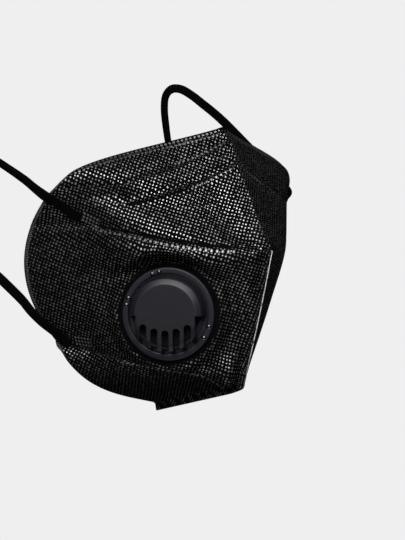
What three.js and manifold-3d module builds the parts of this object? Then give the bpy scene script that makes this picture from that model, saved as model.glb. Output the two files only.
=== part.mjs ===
// A folding respirator mask, opened as it is worn, with an exhalation valve and two ear loops.
// Millimetres, +Z up. The wearer looks along -Y, so -X is the wearer's right, the valve side.
// The origin is the inside of the top edge, where the mask sits on the bridge of the nose.

import * as THREE from 'three';
import { mergeVertices } from 'three/addons/utils/BufferGeometryUtils.js';
import Module from 'manifold-3d';

const wasm = await Module();
wasm.setup();

// ---------------------------------------------------------------- driving sizes

const WALL = 1.5; // thickness of the laminated cloth
const GAP = 0.3; // clearance between pieces that touch

const SEAM_THICKNESS = 1.2; // the two halves' edges, pressed and welded together
const SEAM_PROUD_FRONT = 2.3; // how far that seam stands out down the front
const SEAM_PROUD_CHIN = 3.2; // and under the chin
const SEAM_ROOT = 0.9; // how deep it is rooted in the wall
const SEAM_START = 0.93; // the seam fades out of the nose ridge over these levels
const SEAM_FULL = 1.04;

const FLANGE_RADIUS = 20; // the valve's flange
const VALVE_SIDES = 40;
const SLOT_PITCH = 4.75;
const SLOT_WIDTH = 3.1;

// One half of the mask is a skin of curves that run from the plane of symmetry to the free edge.
// Each row below is one curve. fold* is its point on the plane of symmetry, edge* its point on the
// free edge. leave and arrive are its plan angles at those points, in degrees off the -Y to +Y
// line, the rises are millimetres climbed per millimetre, and the pulls are the lengths of the
// two handles that shape it.
const COLUMNS = [
  'foldY', 'foldZ', 'edgeX', 'edgeY', 'edgeZ',
  'leave', 'leaveRise', 'leavePull', 'arrive', 'arriveRise', 'arrivePull',
];
const SECTION_ROWS = {
  topEdge: [-2.9, 0, 61.7, 26.7, -20.2, 60.3, -0.29, 25, 43, -0.76, 9.6],
  nosePanel: [-18, -25.5, 67.7, 34.2, -30.4, 65, -0.23, 37, 32.3, -0.47, 26],
  upperCrease: [-32.6, -50.5, 66.4, 48.3, -43.3, 61, -0.13, 35, 27.7, -0.18, 38],
  valveLevel: [-23.8, -80, 65, 53.2, -68.1, 57, 0.08, 35.7, 27.6, 0.09, 36.3],
  lowerCrease: [-13.4, -110.5, 50, 52.5, -93.1, 55, 0.32, 34.2, 31.7, 0.28, 33.7],
  underJaw: [15.2, -116.5, 50.3, 48.4, -97.1, 68, 0.14, 26.5, 39, 0.78, 20],
  chinEdge: [44.9, -122.7, 47.2, 48.3, -101.7, 87, 0.23, 16.8, 82, 1.2, 12.7],
};

// Levels count down the skin: a whole number at each edge or crease, and a half between them.
const TOP_EDGE = 0;
const UPPER_CREASE = 1;
const LOWER_CREASE = 2;
const CHIN_EDGE = 3;

// ---------------------------------------------------------------- small helpers

function record(columns, row) {
  return Object.fromEntries(columns.map((name, i) => [name, row[i]]));
}

function smooth(from, to, x) {
  const t = THREE.MathUtils.clamp((x - from) / (to - from), 0, 1);
  return t * t * (3 - 2 * t);
}

// A soft hill of height 1 at the middle that is down to a third at one reach away.
function hill(distance, reach) {
  return Math.exp(-((distance / reach) ** 2));
}

// A level top of height 1 between two limits, with sloping shoulders.
function plateau(x, from, to, shoulder) {
  const half = shoulder / 2;
  return smooth(from - half, from + half, x) * (1 - smooth(to - half, to + half, x));
}

function meshGeometry(points, triangles) {
  const geometry = new THREE.BufferGeometry();
  const flat = points.flatMap((p) => [p.x, p.y, p.z]);
  geometry.setAttribute('position', new THREE.Float32BufferAttribute(flat, 3));
  geometry.setIndex(triangles);
  return geometry;
}

// Turns a closed geometry into a solid for joining and cutting.
function solidOf(geometry) {
  const bare = geometry.clone();
  bare.deleteAttribute('normal');
  bare.deleteAttribute('uv');
  const merged = mergeVertices(bare, 1e-5);
  const index = merged.index.array;
  const triangles = [];
  for (let i = 0; i < index.length; i += 3) {
    const [a, b, c] = [index[i], index[i + 1], index[i + 2]];
    if (a !== b && b !== c && c !== a) triangles.push(a, b, c);
  }
  return new wasm.Manifold(new wasm.Mesh({
    numProp: 3,
    vertProperties: new Float32Array(merged.attributes.position.array),
    triVerts: new Uint32Array(triangles),
  }));
}

function geometryOf(solid) {
  const { numProp, vertProperties, triVerts } = solid.getMesh();
  const points = [];
  for (let i = 0; i < vertProperties.length; i += numProp) {
    points.push(new THREE.Vector3(vertProperties[i], vertProperties[i + 1], vertProperties[i + 2]));
  }
  return meshGeometry(points, [...triVerts]);
}

// A profile of [radius, height] points turned about +Z. It runs up the outer side, and starts and
// ends on the axis or closes on itself.
function turned(profile, sides) {
  const outline = profile.map(([radius, height]) => new THREE.Vector2(radius, height));
  const onAxis = profile[0][0] === 0 && profile[profile.length - 1][0] === 0;
  if (!onAxis) outline.push(outline[0].clone());
  return new THREE.LatheGeometry(outline, sides).rotateX(Math.PI / 2);
}

function block(width, height, depth, centre) {
  return new THREE.BoxGeometry(width, height, depth).translate(...centre);
}

function part(name, geometry, finish) {
  const material = new THREE.MeshStandardMaterial({ ...finish, metalness: 0 });
  const mesh = new THREE.Mesh(geometry, material);
  mesh.name = name;
  return mesh;
}

// ---------------------------------------------------------------- the skin of the mask

// The four control points of one section's curve.
function sectionControls(section) {
  const fold = new THREE.Vector3(0, section.foldY, section.foldZ);
  const edge = new THREE.Vector3(section.edgeX, section.edgeY, section.edgeZ);
  const heading = (angle, rise) => {
    const radians = THREE.MathUtils.degToRad(angle);
    return new THREE.Vector3(Math.sin(radians), Math.cos(radians), rise);
  };
  const leaving = heading(section.leave, section.leaveRise).multiplyScalar(section.leavePull);
  const arriving = heading(section.arrive, section.arriveRise).multiplyScalar(section.arrivePull);
  return [fold, fold.clone().add(leaving), edge.clone().sub(arriving), edge];
}

const SECTIONS = Object.fromEntries(
  Object.entries(SECTION_ROWS).map(([name, row]) => [name, sectionControls(record(COLUMNS, row))]),
);

function blend(curves, weights) {
  return curves[0].map((_, i) => {
    const sum = new THREE.Vector3();
    curves.forEach((curve, k) => sum.addScaledVector(curve[i], weights[k]));
    return sum;
  });
}

const SPANS = [
  [SECTIONS.topEdge, SECTIONS.nosePanel, SECTIONS.upperCrease],
  [SECTIONS.upperCrease, SECTIONS.valveLevel, SECTIONS.lowerCrease],
  [SECTIONS.lowerCrease, SECTIONS.underJaw, SECTIONS.chinEdge],
];

// The curve at any level. Each span between creases bows through its own middle section.
function controlsAt(level) {
  const span = Math.min(Math.floor(level), SPANS.length - 1);
  const t = level - span;
  return blend(SPANS[span], [(1 - t) * (1 - 2 * t), 4 * t * (1 - t), t * (2 * t - 1)]);
}

const RIDGE_ROUNDING = 2.2; // the nose ridge is a soft fold
const SEAM_ROUNDING = 0.5; // the front and chin are welded sharp

// A point of the left half. across runs from 0 on the plane of symmetry to 1 on the free edge.
function skinPoint(level, across) {
  const [a, b, c, d] = controlsAt(level);
  const t = across;
  const s = 1 - t;
  const point = new THREE.Vector3()
    .addScaledVector(a, s * s * s)
    .addScaledVector(b, 3 * s * s * t)
    .addScaledVector(c, 3 * s * t * t)
    .addScaledVector(d, t * t * t);
  const rounding = THREE.MathUtils.lerp(RIDGE_ROUNDING, SEAM_ROUNDING, smooth(0.8, 1, level));
  const slope = (b.y - a.y) / (b.x - a.x);
  point.y += slope * (Math.hypot(point.x, rounding) - point.x);
  return point;
}

// ---------------------------------------------------------------- the skin as a grid

const WIRE_TOP = 0.13; // levels of the nose wire's two edges at the nose
const WIRE_BOTTOM = 0.31;
const WIRE_FALLS_TO = 0.6; // how far across the wire's edges go on falling away from the top edge

// Rows are counted on a scale where the nose wire keeps level, then moved to their real level.
function levelOf(row, across) {
  const a = Math.min(across, WIRE_FALLS_TO);
  const top = WIRE_TOP + a * (0.34 + 0.42 * a);
  const bottom = WIRE_BOTTOM + a * (0.45 + 0.4 * a);
  if (row >= UPPER_CREASE) return row;
  if (row <= WIRE_TOP) return row * top / WIRE_TOP;
  if (row <= WIRE_BOTTOM) {
    return THREE.MathUtils.lerp(top, bottom, (row - WIRE_TOP) / (WIRE_BOTTOM - WIRE_TOP));
  }
  const rest = (row - WIRE_BOTTOM) / (UPPER_CREASE - WIRE_BOTTOM);
  return THREE.MathUtils.lerp(bottom, UPPER_CREASE, rest);
}

const GRID_ROWS = [
  TOP_EDGE, 0.05, 0.1, 0.118, 0.142, 0.22, 0.298, 0.322, 0.4, 0.5, 0.61, 0.73, 0.85, 0.96,
  UPPER_CREASE, 1.03, 1.075, 1.125, 1.185, 1.25, 1.33, 1.41, 1.5, 1.6, 1.7, 1.8, 1.885, 1.965,
  LOWER_CREASE, 2.05, 2.15, 2.3, 2.5, 2.73, CHIN_EDGE,
];
const HALF_COLUMNS = 22;

// Columns crowd towards the plane of symmetry, where the skin turns fastest.
function acrossOf(column) {
  const t = column / HALF_COLUMNS;
  return t * (0.4 + 0.6 * t);
}

// ---------------------------------------------------------------- folds, creases and dents

const CREASE_DEPTH = 0.6;
const CREASE_REACH = 0.9;
const BAND_HEIGHT = 3; // the step by which the cloth stands out below the upper crease
const BAND_WIDTH = 5.5;
const SWELL_HEIGHT = 4.2; // the broad swelling on both sides of that crease
const WIRE_HEIGHT = 0.8;
const WIRE_HALF_LENGTH = 51.5;
const LEFT_STRENGTH = 0.15; // the left half is smoother than the right, which the valve pulls on
const LEFT_BLEND = 4;

// Soft dents and swellings. beyond is millimetres from the plane of symmetry along the cloth,
// below is the level, and the reaches are millimetres along and levels down.
const DENT_COLUMNS = ['beyond', 'level', 'reachAlong', 'reachDown', 'height'];
const DENT_ROWS = {
  belowWire: [52, 0.63, 22, 0.16, -2.2],
  acrossWire: [15, 0.3, 7, 0.13, -0.9],
  foldBelowWire: [14, 0.54, 7, 0.14, -2.2],
  foldBesideRidge: [12, 0.74, 6.5, 0.13, -2.8],
  foldAboveTip: [9.5, 0.92, 6, 0.1, -2.8],
  foldByUpperSeam: [9, 1.15, 4, 0.1, -1.6],
  foldByMiddleSeam: [13, 1.38, 4, 0.13, -1.4],
  foldByLowerSeam: [12, 1.66, 5, 0.04, -0.8],
  chinSwelling: [5, 1.95, 7, 0.13, 5.2],
};
const DENTS = Object.values(DENT_ROWS).map((row) => record(DENT_COLUMNS, row));

// How far the cloth stands out from the plain skin. beyond is measured along the row from the
// plane of symmetry, belowUpper and belowLower down the column from the two creases.
function reliefAt({ row, level, across, x, beyond, belowUpper, belowLower }) {
  const alongCrease = smooth(0, 8, beyond) * (1 - smooth(0.54, 0.8, across));
  const upperGroove = -CREASE_DEPTH * hill(belowUpper, CREASE_REACH) * alongCrease;
  const lowerGroove = -CREASE_DEPTH * hill(belowLower, CREASE_REACH) * alongCrease;
  const rise = THREE.MathUtils.clamp(belowUpper / BAND_WIDTH, 0, 1);
  const band = BAND_HEIGHT * rise * (1.3 - 0.3 * rise) * (1 - smooth(6, 28, belowUpper))
    * alongCrease;
  const swell = SWELL_HEIGHT * hill(beyond - 48, 28) * hill(level - 1.12, 0.27)
    * (1 - smooth(0.62, 0.8, across));
  const wire = WIRE_HEIGHT
    * plateau(row, WIRE_TOP, WIRE_BOTTOM, 0.03)
    * (1 - smooth(WIRE_HALF_LENGTH - 2, WIRE_HALF_LENGTH + 2, beyond));
  let dents = 0;
  for (const dent of DENTS) {
    const along = hill(beyond - dent.beyond, dent.reachAlong);
    dents += dent.height * along * hill(level - dent.level, dent.reachDown);
  }
  // Below the nose ridge the dents leave the welded seam where it is.
  dents *= THREE.MathUtils.lerp(1, smooth(0, 5, beyond), smooth(SEAM_START, SEAM_FULL, level));
  const strength = THREE.MathUtils.lerp(1, LEFT_STRENGTH, smooth(0, LEFT_BLEND, x));
  return wire + (upperGroove + lowerGroove + band + swell + dents) * strength;
}

// ---------------------------------------------------------------- where the valve sits

const VALVE_LEVEL = 1.57;
const VALVE_ACROSS = 0.36;
const VALVE_STAND = 1.5; // how far the cloth is pulled out under the valve
const VALVE_HEADING = 48; // degrees that the valve faces to the wearer's right of straight ahead
const VALVE_PITCH = -1; // degrees that it faces up
const SEAT_FLAT = 22.5; // the cloth is flat under the flange out to this radius
const SEAT_FADE = 27.5;
const LEAN_FADE = 44; // the valve tips the cloth around it, out to this radius
const LEAN_CLEAR = 22; // and leaves the front seam where it is
const LEAN_LOW = 12; // how far above the valve's middle it begins to fade below the upper crease
const LEAN_HIGH = 25; // and where it has faded

function rightPoint(level, across) {
  const point = skinPoint(level, across);
  point.x = -point.x;
  return point;
}

// The valve's own frame: +Z out of the cloth, +Y up the mask, origin on the cloth's outer face.
function valveFrame() {
  const heading = THREE.MathUtils.degToRad(VALVE_HEADING);
  const pitch = THREE.MathUtils.degToRad(VALVE_PITCH);
  const out = new THREE.Vector3(
    -Math.sin(heading) * Math.cos(pitch),
    -Math.cos(heading) * Math.cos(pitch),
    Math.sin(pitch),
  );
  const side = new THREE.Vector3(0, 0, 1).cross(out).normalize();
  const up = out.clone().cross(side);
  const centre = rightPoint(VALVE_LEVEL, VALVE_ACROSS).addScaledVector(out, VALVE_STAND);
  return new THREE.Matrix4().makeBasis(side, up, out).setPosition(centre);
}

const VALVE_FRAME = valveFrame();
const TO_VALVE = VALVE_FRAME.clone().invert();

// The direction the plain skin faces at the valve, in the valve's frame.
function seatNormal() {
  const step = 0.01;
  const along = rightPoint(VALVE_LEVEL, VALVE_ACROSS + step)
    .sub(rightPoint(VALVE_LEVEL, VALVE_ACROSS - step));
  const down = rightPoint(VALVE_LEVEL + step, VALVE_ACROSS)
    .sub(rightPoint(VALVE_LEVEL - step, VALVE_ACROSS));
  return along.cross(down).transformDirection(TO_VALVE);
}

const SEAT_NORMAL = seatNormal();

// Tips the cloth around the valve to the way it faces, and presses it flat under the flange.
function seatValve(point) {
  const local = point.clone().applyMatrix4(TO_VALVE);
  const radius = Math.hypot(local.x, local.y);
  const tilt = -(SEAT_NORMAL.x * local.x + SEAT_NORMAL.y * local.y) / SEAT_NORMAL.z;
  const lean = (1 - smooth(SEAT_FLAT, LEAN_FADE, radius)) * smooth(0, LEAN_CLEAR, -point.x);
  local.z -= tilt * lean * (1 - smooth(LEAN_LOW, LEAN_HIGH, local.y));
  local.z *= smooth(SEAT_FLAT, SEAT_FADE, radius);
  return local.applyMatrix4(VALVE_FRAME);
}

// ---------------------------------------------------------------- the shell

const GRID_COLUMNS = 2 * HALF_COLUMNS + 1;

function gridTriangles(flip) {
  const triangles = [];
  for (let i = 0; i + 1 < GRID_ROWS.length; i++) {
    for (let j = 0; j + 1 < GRID_COLUMNS; j++) {
      const a = i * GRID_COLUMNS + j;
      const b = a + 1;
      const c = a + GRID_COLUMNS;
      const d = c + 1;
      // The diagonals mirror each other on the two sides.
      const split = j < HALF_COLUMNS ? [a, c, b, b, c, d] : [a, c, d, a, d, b];
      triangles.push(...split);
    }
  }
  return flip ? triangles.reverse() : triangles;
}

// The outward direction at each grid point, lengthened so that an offset keeps the wall's
// thickness on both sides of a fold.
function offsetDirections(points) {
  const triangles = gridTriangles(false);
  const sums = points.map(() => new THREE.Vector3());
  const faces = points.map(() => []);
  for (let t = 0; t < triangles.length; t += 3) {
    const corners = triangles.slice(t, t + 3);
    const [p, q, r] = corners.map((i) => points[i]);
    const normal = q.clone().sub(p).cross(r.clone().sub(p));
    for (const corner of corners) {
      sums[corner].add(normal);
      faces[corner].push(normal.clone().normalize());
    }
  }
  return sums.map((sum, i) => {
    const direction = sum.normalize();
    const lean = faces[i].reduce((total, face) => total + face.dot(direction), 0) / faces[i].length;
    return direction.divideScalar(Math.max(lean, 0.5));
  });
}

function plainGrid() {
  const points = [];
  for (const row of GRID_ROWS) {
    for (let j = 0; j < GRID_COLUMNS; j++) {
      const column = j - HALF_COLUMNS;
      const across = acrossOf(Math.abs(column));
      const point = skinPoint(levelOf(row, across), across);
      if (column < 0) point.x = -point.x;
      points.push(point);
    }
  }
  return points;
}

// Running lengths over the grid, along each row and down each column.
function measured(points) {
  const at = (i, j) => points[i * GRID_COLUMNS + j];
  const beyond = new Array(points.length).fill(0);
  const down = new Array(points.length).fill(0);
  GRID_ROWS.forEach((_, i) => {
    for (const direction of [-1, 1]) {
      for (let k = 1; k <= HALF_COLUMNS; k++) {
        const j = HALF_COLUMNS + direction * k;
        const before = j - direction;
        beyond[i * GRID_COLUMNS + j] = beyond[i * GRID_COLUMNS + before]
          + at(i, j).distanceTo(at(i, before));
      }
    }
    if (i === 0) return;
    for (let j = 0; j < GRID_COLUMNS; j++) {
      down[i * GRID_COLUMNS + j] = down[(i - 1) * GRID_COLUMNS + j]
        + at(i, j).distanceTo(at(i - 1, j));
    }
  });
  return { beyond, down };
}

function outerGrid() {
  const points = plainGrid();
  const directions = offsetDirections(points);
  const { beyond, down } = measured(points);
  const upperRow = GRID_ROWS.indexOf(UPPER_CREASE) * GRID_COLUMNS;
  const lowerRow = GRID_ROWS.indexOf(LOWER_CREASE) * GRID_COLUMNS;
  return points.map((point, index) => {
    const row = GRID_ROWS[Math.floor(index / GRID_COLUMNS)];
    const j = index % GRID_COLUMNS;
    const across = acrossOf(Math.abs(j - HALF_COLUMNS));
    const relief = reliefAt({
      row,
      level: levelOf(row, across),
      across,
      x: point.x,
      beyond: beyond[index],
      belowUpper: down[index] - down[upperRow + j],
      belowLower: down[index] - down[lowerRow + j],
    });
    const raised = point.clone().addScaledVector(directions[index], relief);
    return j < HALF_COLUMNS ? seatValve(raised) : raised;
  });
}

// The grid's rim as a ring of indices.
function rimIndices() {
  const last = GRID_ROWS.length - 1;
  const ring = [];
  for (let j = 0; j < GRID_COLUMNS - 1; j++) ring.push(j);
  for (let i = 0; i < last; i++) ring.push(i * GRID_COLUMNS + GRID_COLUMNS - 1);
  for (let j = GRID_COLUMNS - 1; j > 0; j--) ring.push(last * GRID_COLUMNS + j);
  for (let i = last; i > 0; i--) ring.push(i * GRID_COLUMNS);
  return ring;
}

function shellSolid() {
  const outer = outerGrid();
  const inward = offsetDirections(outer);
  const inner = outer.map((point, i) => point.clone().addScaledVector(inward[i], -WALL));
  const count = outer.length;
  const triangles = gridTriangles(false);
  triangles.push(...gridTriangles(true).map((i) => i + count));
  const ring = rimIndices();
  ring.forEach((a, k) => {
    const b = ring[(k + 1) % ring.length];
    triangles.push(a, b, b + count, a, b + count, a + count);
  });
  return solidOf(meshGeometry([...outer, ...inner], triangles));
}

// ---------------------------------------------------------------- the welded front seam

const SEAM_CUT_BACK = 2.5; // its lower end is cut on the slant
const SEAM_LEVELS = [
  SEAM_START, 0.965, UPPER_CREASE, SEAM_FULL, 1.15, 1.3, 1.5, 1.7, 1.85, 1.95, LOWER_CREASE,
  2.05, 2.15, 2.3, 2.5, 2.75, CHIN_EDGE,
];

// A plate in the plane of symmetry that follows the fold of the skin.
function seamSolid() {
  const path = SEAM_LEVELS.map((level) => {
    const point = skinPoint(level, 0);
    return new THREE.Vector2(point.y, point.z);
  });
  const outward = path.map((_, i) => {
    const before = path[Math.max(i - 1, 0)];
    const after = path[Math.min(i + 1, path.length - 1)];
    const along = after.clone().sub(before).normalize();
    return new THREE.Vector2(along.y, -along.x);
  });
  const proudAt = (level) => {
    const proud = THREE.MathUtils.lerp(SEAM_PROUD_FRONT, SEAM_PROUD_CHIN, smooth(1.9, 2.15, level));
    return proud * smooth(SEAM_START, SEAM_FULL, level);
  };
  const outer = path.map((p, i) => p.clone().addScaledVector(outward[i], proudAt(SEAM_LEVELS[i])));
  const inner = path.map((p, i) => p.clone().addScaledVector(outward[i], -SEAM_ROOT));
  const last = path.length - 1;
  const backwards = path[last - 1].clone().sub(path[last]).normalize();
  outer[last].addScaledVector(backwards, SEAM_CUT_BACK);
  const shape = new THREE.Shape([...outer, ...inner.reverse()]);
  // The shape lies in the plane of Y and Z, and its depth runs along X.
  const toPlane = new THREE.Matrix4().makeBasis(
    new THREE.Vector3(0, 1, 0),
    new THREE.Vector3(0, 0, 1),
    new THREE.Vector3(1, 0, 0),
  );
  const plate = new THREE.ExtrudeGeometry(shape, { depth: SEAM_THICKNESS, bevelEnabled: false });
  plate.translate(0, 0, -SEAM_THICKNESS / 2).applyMatrix4(toPlane);
  return solidOf(plate);
}

// ---------------------------------------------------------------- the exhalation valve

const SPIGOT_RADIUS = 13.6;
const BORE_RADIUS = 12.2;
const CLOTH_HOLE_RADIUS = SPIGOT_RADIUS + GAP;
const RING_THICKNESS = 1.5; // of the retaining ring inside the mask
const RING_RADIUS = 18;
const RING_TOP = -WALL - GAP;
const SPIGOT_BOTTOM = RING_TOP - RING_THICKNESS - 0.9;
const FLANGE_TOP = 1.5;
const SEAT_RADIUS = 15;
const SEAT_TOP = 2.6;
const GROOVE_FLOOR = FLANGE_TOP - GAP; // the cap's wall stands in this groove
const PIN_RADIUS = 1.2;
const DIAPHRAGM_RADIUS = 13.8;
const DIAPHRAGM_BOTTOM = SEAT_TOP + GAP;
const DIAPHRAGM_TOP = DIAPHRAGM_BOTTOM + 0.5;
const CAP_TOP = 10;
const CAP_WALL = 1.2;

function clothHoleSolid() {
  const reach = 6;
  const profile = [[0, -reach], [CLOTH_HOLE_RADIUS, -reach], [CLOTH_HOLE_RADIUS, reach], [0, reach]];
  return solidOf(turned(profile, VALVE_SIDES).applyMatrix4(VALVE_FRAME));
}

// The flange outside, the spigot through the cloth, the seat, and the cross that holds the pin.
function valveBase() {
  const ring = solidOf(turned([
    [BORE_RADIUS, SPIGOT_BOTTOM],
    [SPIGOT_RADIUS, SPIGOT_BOTTOM],
    [SPIGOT_RADIUS, GAP],
    [FLANGE_RADIUS, GAP],
    [FLANGE_RADIUS, FLANGE_TOP],
    [FLANGE_RADIUS - 0.6, FLANGE_TOP + 0.6],
    [FLANGE_RADIUS - 2.7, FLANGE_TOP + 0.6],
    [FLANGE_RADIUS - 3.1, GROOVE_FLOOR],
    [SEAT_RADIUS, GROOVE_FLOOR],
    [SEAT_RADIUS, SEAT_TOP],
    [BORE_RADIUS, SEAT_TOP],
  ], VALVE_SIDES));
  const spokeLength = 2 * BORE_RADIUS + 1;
  const spokeWidth = 1.6;
  const spokeHeight = 1.4;
  const spokeLevel = [0, 0, 1.3];
  const pin = turned([
    [0, 1],
    [PIN_RADIUS, 1],
    [PIN_RADIUS, DIAPHRAGM_TOP + GAP],
    [PIN_RADIUS + 1, DIAPHRAGM_TOP + GAP],
    [PIN_RADIUS + 1, DIAPHRAGM_TOP + GAP + 0.4],
    [PIN_RADIUS, DIAPHRAGM_TOP + GAP + 0.8],
    [0, DIAPHRAGM_TOP + GAP + 0.8],
  ], 12);
  return ring
    .add(solidOf(block(spokeLength, spokeWidth, spokeHeight, spokeLevel)))
    .add(solidOf(block(spokeWidth, spokeLength, spokeHeight, spokeLevel)))
    .add(solidOf(pin));
}

// The soft disc that lies over the seat, held by the pin at its middle.
function valveDiaphragm() {
  return solidOf(turned([
    [PIN_RADIUS + GAP, DIAPHRAGM_BOTTOM],
    [DIAPHRAGM_RADIUS, DIAPHRAGM_BOTTOM],
    [DIAPHRAGM_RADIUS, DIAPHRAGM_TOP],
    [PIN_RADIUS + GAP, DIAPHRAGM_TOP],
  ], VALVE_SIDES));
}

// The ring inside the mask that clamps the cloth against the flange.
function valveRing() {
  const bore = SPIGOT_RADIUS + GAP;
  return solidOf(turned([
    [bore, RING_TOP - RING_THICKNESS],
    [RING_RADIUS, RING_TOP - RING_THICKNESS],
    [RING_RADIUS, RING_TOP],
    [bore, RING_TOP],
  ], VALVE_SIDES));
}

// Slots from the middle one out to the side ones: how far below the cap's centre each one ends.
const SLOT_ENDS = [6.4, 5.6, 3.9, 0.4];

// One slot of the cap, cut through the face and on through the wall below.
function slotSolid(place) {
  const outermost = Math.abs(place) === SLOT_ENDS.length - 1;
  const half = SLOT_WIDTH / 2;
  const end = -SLOT_ENDS[Math.abs(place)];
  const middle = place * SLOT_PITCH;
  const shape = new THREE.Shape();
  if (outermost) {
    // The side slots take the whole of the wall beyond them, and have square tops.
    const inner = middle - Math.sign(place) * half;
    const outer = Math.sign(place) * FLANGE_RADIUS;
    const [left, right] = [Math.min(inner, outer), Math.max(inner, outer)];
    shape.moveTo(left, -FLANGE_RADIUS);
    shape.lineTo(right, -FLANGE_RADIUS);
    shape.lineTo(right, end);
    shape.lineTo(left, end);
  } else {
    shape.moveTo(middle - half, -FLANGE_RADIUS);
    shape.lineTo(middle + half, -FLANGE_RADIUS);
    shape.lineTo(middle + half, end - half);
    shape.absarc(middle, end - half, half, 0, Math.PI, false);
  }
  const depth = CAP_TOP + 2;
  return solidOf(new THREE.ExtrudeGeometry(shape, { depth, curveSegments: 6, bevelEnabled: false }));
}

// The cover: a shallow cup with a chamfered face, slotted across its lower part.
function valveCap() {
  const rim = 16.6;
  const shoulder = 15.5;
  const face = 13.5;
  let cap = solidOf(turned([
    [0, CAP_TOP - CAP_WALL],
    [face - 0.8, CAP_TOP - CAP_WALL],
    [face + 0.2, CAP_TOP - CAP_WALL - 0.9],
    [SEAT_RADIUS + GAP + 0.05, FLANGE_TOP],
    [rim, FLANGE_TOP],
    [shoulder, CAP_TOP - 1.7],
    [face, CAP_TOP],
    [0, CAP_TOP],
  ], VALVE_SIDES));
  for (let place = 1 - SLOT_ENDS.length; place < SLOT_ENDS.length; place++) {
    cap = cap.subtract(slotSolid(place));
  }
  return cap;
}

function inValveFrame(solid) {
  return geometryOf(solid).applyMatrix4(VALVE_FRAME);
}

// ---------------------------------------------------------------- the ear loops

// The left loop's route, from its upper weld on the panel, back over the ear and down to its lower
// weld. turn is how far the flat of the elastic is turned from facing sideways, in degrees.
const LOOP_COLUMNS = ['x', 'y', 'z', 'width', 'thickness', 'turn'];
const LOOP_ROWS = [
  [56.3, 25.9, -39.7, 5.1, 0.6, 0],
  [61.3, 29.45, -35.45, 5.1, 0.8, 0],
  [65.55, 31.9, -32.1, 5.1, 1, 0],
  [68.9, 33.5, -30, 4.9, 1.3, 0],
  [70.6, 38, -27, 4.4, 2, 8],
  [71.7, 44, -23.3, 4.2, 2.6, 22],
  [73.8, 52, -18.8, 4.2, 2.6, 32],
  [76.2, 62, -13.6, 4.2, 2.6, 35],
  [78.8, 74, -7.4, 4.2, 2.6, 35],
  [81.2, 86, -1.1, 4.2, 2.6, 35],
  [83.3, 97, 4.6, 4.2, 2.6, 28],
  [84.7, 107, 9.6, 4.2, 2.6, 18],
  [84.9, 115.5, 14, 4.2, 2.6, 8],
  [84.1, 123.5, 18.6, 4.2, 2.6, 0],
  [82.6, 130, 21.6, 4.2, 2.6, 0],
  [81.3, 135.4, 21.7, 4.2, 2.6, 0],
  [80.6, 139, 18.6, 4.2, 2.6, 0],
  [80.3, 139.8, 12.6, 4.2, 2.6, 0],
  [80.1, 138.2, 3, 4.2, 2.6, 5],
  [79.8, 135, -8, 4.2, 2.6, 15],
  [78.8, 128.5, -20, 4.2, 2.6, 26],
  [77, 119, -31.5, 4.2, 2.6, 33],
  [74.8, 107, -41.5, 4.2, 2.6, 35],
  [72.6, 94.5, -50.2, 4.2, 2.6, 35],
  [70.4, 83, -57.3, 4.2, 2.6, 32],
  [68.2, 72.5, -63.8, 4.2, 2.6, 26],
  [66, 64.5, -69.7, 4.2, 2.6, 18],
  [63.2, 58.5, -75.4, 4.2, 2.6, 10],
  [61.2, 54.2, -80.4, 4.5, 2, 4],
  [57.6, 50.8, -85.2, 4.9, 1.3, 0],
  [54.1, 48.8, -88.3, 5.1, 1.2, 0],
  [51.1, 46.9, -91.1, 5.1, 1.2, 0],
  [48.3, 44.7, -94.2, 5.1, 1.2, 0],
];
const LOOP = LOOP_ROWS.map((row) => record(LOOP_COLUMNS, row));
const LOOP_SIDES = 8;
const STEPS_A_POINT = 2;

// side is 1 for the left loop and -1 for the right one, its mirror image.
function earLoop(side) {
  const route = new THREE.CatmullRomCurve3(LOOP.map(({ x, y, z }) => new THREE.Vector3(x, y, z)));
  const steps = (LOOP.length - 1) * STEPS_A_POINT;
  const points = [];
  const triangles = [];
  for (let i = 0; i <= steps; i++) {
    const before = LOOP[Math.floor(i / STEPS_A_POINT)];
    const after = LOOP[Math.ceil(i / STEPS_A_POINT)];
    const part = (i % STEPS_A_POINT) / STEPS_A_POINT;
    const at = (key) => THREE.MathUtils.lerp(before[key], after[key], part);
    const centre = route.getPoint(i / steps);
    const along = route.getTangent(i / steps);
    const facing = new THREE.Vector3(1, 0, 0).addScaledVector(along, -along.x).normalize();
    facing.applyAxisAngle(along, THREE.MathUtils.degToRad(at('turn')));
    const broad = facing.clone().cross(along);
    for (let k = 0; k < LOOP_SIDES; k++) {
      // A section with flat faces and rounded edges.
      const angle = (k + 0.5) * 2 * Math.PI / LOOP_SIDES;
      const flatten = (v) => Math.sign(v) * Math.abs(v) ** 0.7;
      const point = centre.clone()
        .addScaledVector(broad, flatten(Math.cos(angle)) * at('width') / 2)
        .addScaledVector(facing, flatten(Math.sin(angle)) * at('thickness') / 2);
      point.x *= side;
      points.push(point);
    }
  }
  const ring = (i, k) => i * LOOP_SIDES + (k % LOOP_SIDES);
  const face = (a, b, c) => triangles.push(...(side > 0 ? [a, b, c] : [a, c, b]));
  for (let i = 0; i < steps; i++) {
    for (let k = 0; k < LOOP_SIDES; k++) {
      face(ring(i, k), ring(i, k + 1), ring(i + 1, k));
      face(ring(i, k + 1), ring(i + 1, k + 1), ring(i + 1, k));
    }
  }
  for (let k = 1; k + 1 < LOOP_SIDES; k++) {
    face(ring(0, 0), ring(0, k + 1), ring(0, k));
    face(ring(steps, 0), ring(steps, k), ring(steps, k + 1));
  }
  return meshGeometry(points, triangles);
}

// ---------------------------------------------------------------- the assembly

const CLOTH = { color: 0x17171a, roughness: 0.7 };
const ELASTIC = { color: 0x0b0b0c, roughness: 0.85 };
const MOULDED = { color: 0x2a2930, roughness: 0.4 };
const SILICONE = { color: 0x1c1c1f, roughness: 0.5 };

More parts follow.
